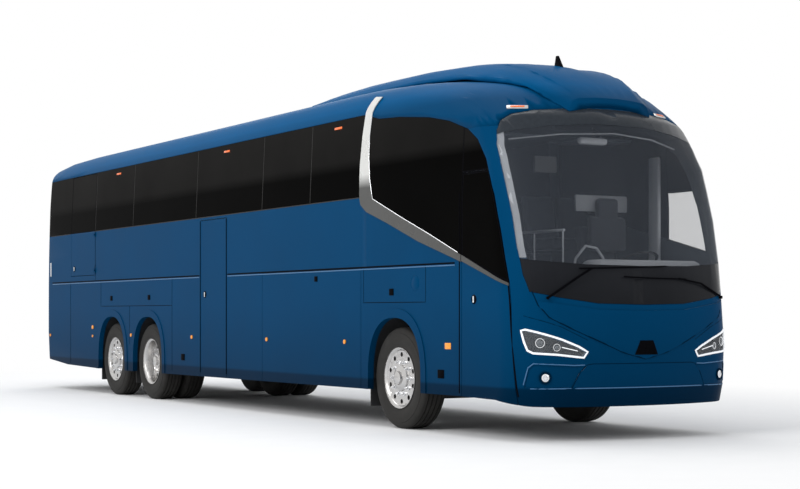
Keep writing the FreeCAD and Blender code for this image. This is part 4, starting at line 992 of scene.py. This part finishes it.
def line_cabin():
    """Grey trim on the inner faces of the body, pale under the windscreen's edge as a painted highlight along
    the glass, dark inside the skirts.
    """
    for node in SHELL:
        piece = bpy.data.objects[node + "_skin"]
        low = node.startswith(("skirt", "hold", "engine"))
        least = INWARD_AT_NOSE if node in ("front_mask", "roof") else INWARD
        index = len(piece.data.materials)
        piece.data.materials.append(FINISHES["iron" if low else "cabin_grey"])
        piece.data.materials.append(FINISHES["pale_trim"])
        for face in piece.data.polygons:
            place, normal = face.center, face.normal
            heart = Vector((0, min(max(place.y, at(SALOON_REACH[0])), at(SALOON_REACH[1])),
                            HOLD_HEART if low else SALOON_HEART))
            if normal.dot((heart - place).normalized()) > least:
                face.material_index = index
            # Faces of the rebate behind the windscreen's edge are pale as a painted highlight along the glass
            # edge.
            if node == "front_mask" and REBATE_LOW < place.z < REBATE_HIGH and normal.y < 0.3 \
                    and is_covered(place, normal):
                face.material_index = index + 1


FIN_HALF_WIDTH = 0.0101
FIN_REACH = (-1.2, -1.04)


def blacken_fin():
    """The aerial fin is black where the pod round it is blue."""
    pod = bpy.data.objects["roof_pod_skin"]
    index = len(pod.data.materials)
    pod.data.materials.append(FINISHES["seal"])
    for face in pod.data.polygons:
        if abs(face.center.x) < FIN_HALF_WIDTH and at(FIN_REACH[0]) < face.center.y < at(FIN_REACH[1]):
            face.material_index = index


# (name, x, station, height, (along, up, deep), finish, rounding)
CAB_BLOCKS = [
    ("inner_mirror", -0.12, -1.84, 2.85, (0.33, 0.07, 0.08), "pale_trim", 0.032),
    ("dash_top", 0.42, -1.92, 1.63, (1.25, 0.15, 0.34), "pale_trim", 0.06),
    ("driver_headrest", 0.64, -1.06, 2.26, (0.26, 0.22, 0.09), "fabric", 0.04),
    ("driver_backrest", 0.64, -1.06, 2.0, (0.46, 0.36, 0.09), "fabric", 0.042),
    ("cab_pillar", 1.12, -1.24, 2.2, (0.05, 1.2, 0.16), "pale_trim", 0.02),
    ("cab_headboard", 0.62, -0.99, 2.32, (0.66, 0.17, 0.03), "pale_trim", 0.012),
    ("instrument_hood", 0.62, -1.93, 1.60, (0.56, 0.1, 0.22), "plastic", 0.03),
    ("ticket_device", 0.12, -1.88, 1.62, (0.11, 0.13, 0.08), "plastic", 0.012),
    ("guide_monitor", -0.55, -1.66, 2.62, (0.26, 0.16, 0.035), "plastic", 0.012),
    ("head_lining_right", -0.55, -0.9, 2.96, (0.7, 0.03, 0.5), "cabin_grey", 0.012),
    ("head_lining_left", 0.55, -0.9, 2.96, (0.7, 0.03, 0.5), "cabin_grey", 0.012),
]
# (name, points as x, station and height, longest step, radius, finish)
CAB_RODS = [
    ("inner_mirror_arm", [(0.02, -1.82, 2.83), (0.04, -1.76, 2.92), (0.05, -1.62, 3.0)], 1, 0.010, "plastic"),
    ("sun_blind_edge", [(-1.0, -1.70, 2.84), (-0.5, -1.84, 2.90), (0.1, -1.9, 2.93), (0.6, -1.84, 2.90),
                        (1.02, -1.68, 2.84)], 0.09, 0.008, "pale_trim"),
    ("entrance_rail", [(-0.28, -1.72, 1.5), (-0.26, -1.76, 1.72), (-0.17, -1.8, 1.84), (-0.04, -1.8, 1.82),
                       (0.06, -1.78, 1.72)], 0.05, 0.013, "pale_trim"),
]
CAB_WINDOW = [(-1.96, 1.74), (-1.28, 1.74), (-1.28, 2.44), (-1.78, 2.44)]


def make_cab():
    """Inner mirror, blind, dash, head of the driver's seat, trims and small devices."""
    for name, x, station, z, size, finish, edge in CAB_BLOCKS:
        lozenge(name, Vector((x, at(station), z)), size, AHEAD, finish, edge=edge)
    for name, points, step, radius, finish in CAB_RODS:
        line_piece(name, fine_run([(x, at(station), z) for x, station, z in points], step), radius, finish)
    line_piece("cab_window_frame", draped(CAB_WINDOW, on_side(1), -0.012), 0.014, "seal")


# Seats

PAD_SIZE = Vector((0.43, 0.42, 0.12))
BACK_RAKE = math.radians(-12)
BACK_DEPTH = 0.11
PAD_VOXEL = 0.017
PAD_GAP = 0.012
SWELL_LIMIT = 0.012
SWELL_FRAMES = 20
SWELL_PRESSURE = 4
CHANNELS = (0.06, -0.08)
CHANNEL_HALF, CHANNEL_DEPTH = 0.014, 0.007
TWO_SEATS = 0.7
PEDESTAL_DEPTH, PEDESTAL_MIDDLE = 0.21, 0.225


def islands(form):
    """The vertices of each separate solid of a form."""
    left, groups = set(form.verts), []
    while left:
        queue, group = [left.pop()], []
        while queue:
            vert = queue.pop()
            group.append(vert)
            for edge in vert.link_edges:
                other = edge.other_vert(vert)
                if other in left:
                    left.remove(other)
                    queue.append(other)
        groups.append(group)
    return groups


def corners_of(node):
    """Lowest and highest corner of each separate solid of a node."""
    form = copied(node)
    found = []
    for group in islands(form):
        found.append((Vector([min(v.co[i] for v in group) for i in range(3)]),
                      Vector([max(v.co[i] for v in group) for i in range(3)])))
    form.free()
    return found


def baked(thing):
    """Apply the modifiers of an object."""
    mesh = bpy.data.meshes.new_from_object(thing.evaluated_get(bpy.context.evaluated_depsgraph_get()))
    thing.modifiers.clear()
    thing.data = mesh


def stuffed_pad():
    """One cushion about the origin: a smaller block remeshed, swollen by cloth pressure and capped."""
    form = bmesh.new()
    bmesh.ops.create_cube(form, size=1)
    bmesh.ops.scale(form, vec=PAD_SIZE * 0.93, verts=form.verts)
    rounded(form, 0.018)
    block = placed("pad_block", mesh_of("pad_block", form))
    voxels = block.modifiers.new("voxels", "REMESH")
    voxels.mode = "VOXEL"
    voxels.voxel_size = PAD_VOXEL
    baked(block)
    rest = [v.co.copy() for v in block.data.vertices]
    cloth = block.modifiers.new("cloth", "CLOTH")
    cloth.settings.use_pressure = True
    cloth.settings.uniform_pressure_force = SWELL_PRESSURE
    cloth.settings.effector_weights.gravity = 0
    cloth.point_cache.frame_start, cloth.point_cache.frame_end = 1, SWELL_FRAMES
    for step in range(1, SWELL_FRAMES + 1):
        bpy.context.scene.frame_set(step)
    baked(block)
    bpy.context.scene.frame_set(1)
    for vert, start in zip(block.data.vertices, rest):
        move = vert.co - start
        if move.length > SWELL_LIMIT:
            vert.co = start + move.normalized() * SWELL_LIMIT
        for channel in CHANNELS:
            off = abs(vert.co.y - channel)
            if off < CHANNEL_HALF and vert.co.z > 0:
                vert.co.z -= CHANNEL_DEPTH * (1 - off / CHANNEL_HALF)
    pad = block.data
    bpy.data.objects.remove(block)
    return pad


def add_pad(form, pad, size, matrix):
    """Set a pad, brought to a size, in its place."""
    start = len(form.verts)
    form.from_mesh(pad)
    form.verts.ensure_lookup_table()
    scale = Matrix.Diagonal((*(size[i] / PAD_SIZE[i] for i in range(3)), 1))
    bmesh.ops.transform(form, matrix=matrix @ scale, verts=form.verts[start:])


def seat_places(low, high):
    """Middle and pad width of each seat between two corners."""
    count = 2 if high.x - low.x > TWO_SEATS else 1
    width = (high.x - low.x) / count
    return [(low.x + width * (n + 0.5), width - PAD_GAP) for n in range(count)]


def make_seats():
    """Crowned cushions and backs for every seat, on bevelled steel pedestals."""
    pad = stuffed_pad()
    cushions, backs, legs = bmesh.new(), bmesh.new(), bmesh.new()
    for low, high in corners_of("seats"):
        foot = high.z - PAD_SIZE.z
        for x, width in seat_places(low, high):
            add_pad(cushions, pad, (width, high.y - low.y, PAD_SIZE.z),
                    Matrix.Translation((x, (low.y + high.y) / 2, foot + PAD_SIZE.z / 2)))
        made = bmesh.ops.create_cube(legs, size=1)["verts"]
        bmesh.ops.scale(legs, vec=((high.x - low.x) / 2, PEDESTAL_DEPTH, foot - low.z), verts=made)
        bmesh.ops.translate(legs, vec=((low.x + high.x) / 2, low.y + PEDESTAL_MIDDLE, (foot + low.z) / 2),
                            verts=made)
    lean = Matrix.Rotation(BACK_RAKE, 4, "X")
    upright = Matrix.Rotation(math.pi / 2, 4, "X")
    for low, high in corners_of("seat_backs"):
        length = (high.z - low.z + BACK_DEPTH * math.sin(BACK_RAKE)) / math.cos(BACK_RAKE)
        foot = Matrix.Translation((0, low.y, low.z - BACK_DEPTH * math.sin(BACK_RAKE))) @ lean
        for x, width in seat_places(low, high):
            lie = Matrix.Translation((x, BACK_DEPTH / 2, length / 2)) @ upright
            add_pad(backs, pad, (width, length, BACK_DEPTH), foot @ lie)
    rounded(legs, 0.012)
    body = frame["nodes"]["seats"]["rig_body"]
    for form, name, node in ((cushions, "seat_cushions", "seats"), (backs, "seat_back_pads", "seat_backs")):
        settle(form, name, body, "fabric", stands_for=(node,))
    settle(legs, "seat_pedestals", body, "steel")


make_camera()
make_world()
make_lamps()
make_floor()
FINISHES = make_finishes()
BODY = body_surface()
dress_nodes(skip=REBUILT)
paint_regions()
make_wheels()
make_side_lines()
make_side_fittings()
make_nose_details()
line_cabin()
blacken_fin()
make_cab()
make_seats()

bpy.context.scene.view_settings.view_transform = "Standard"
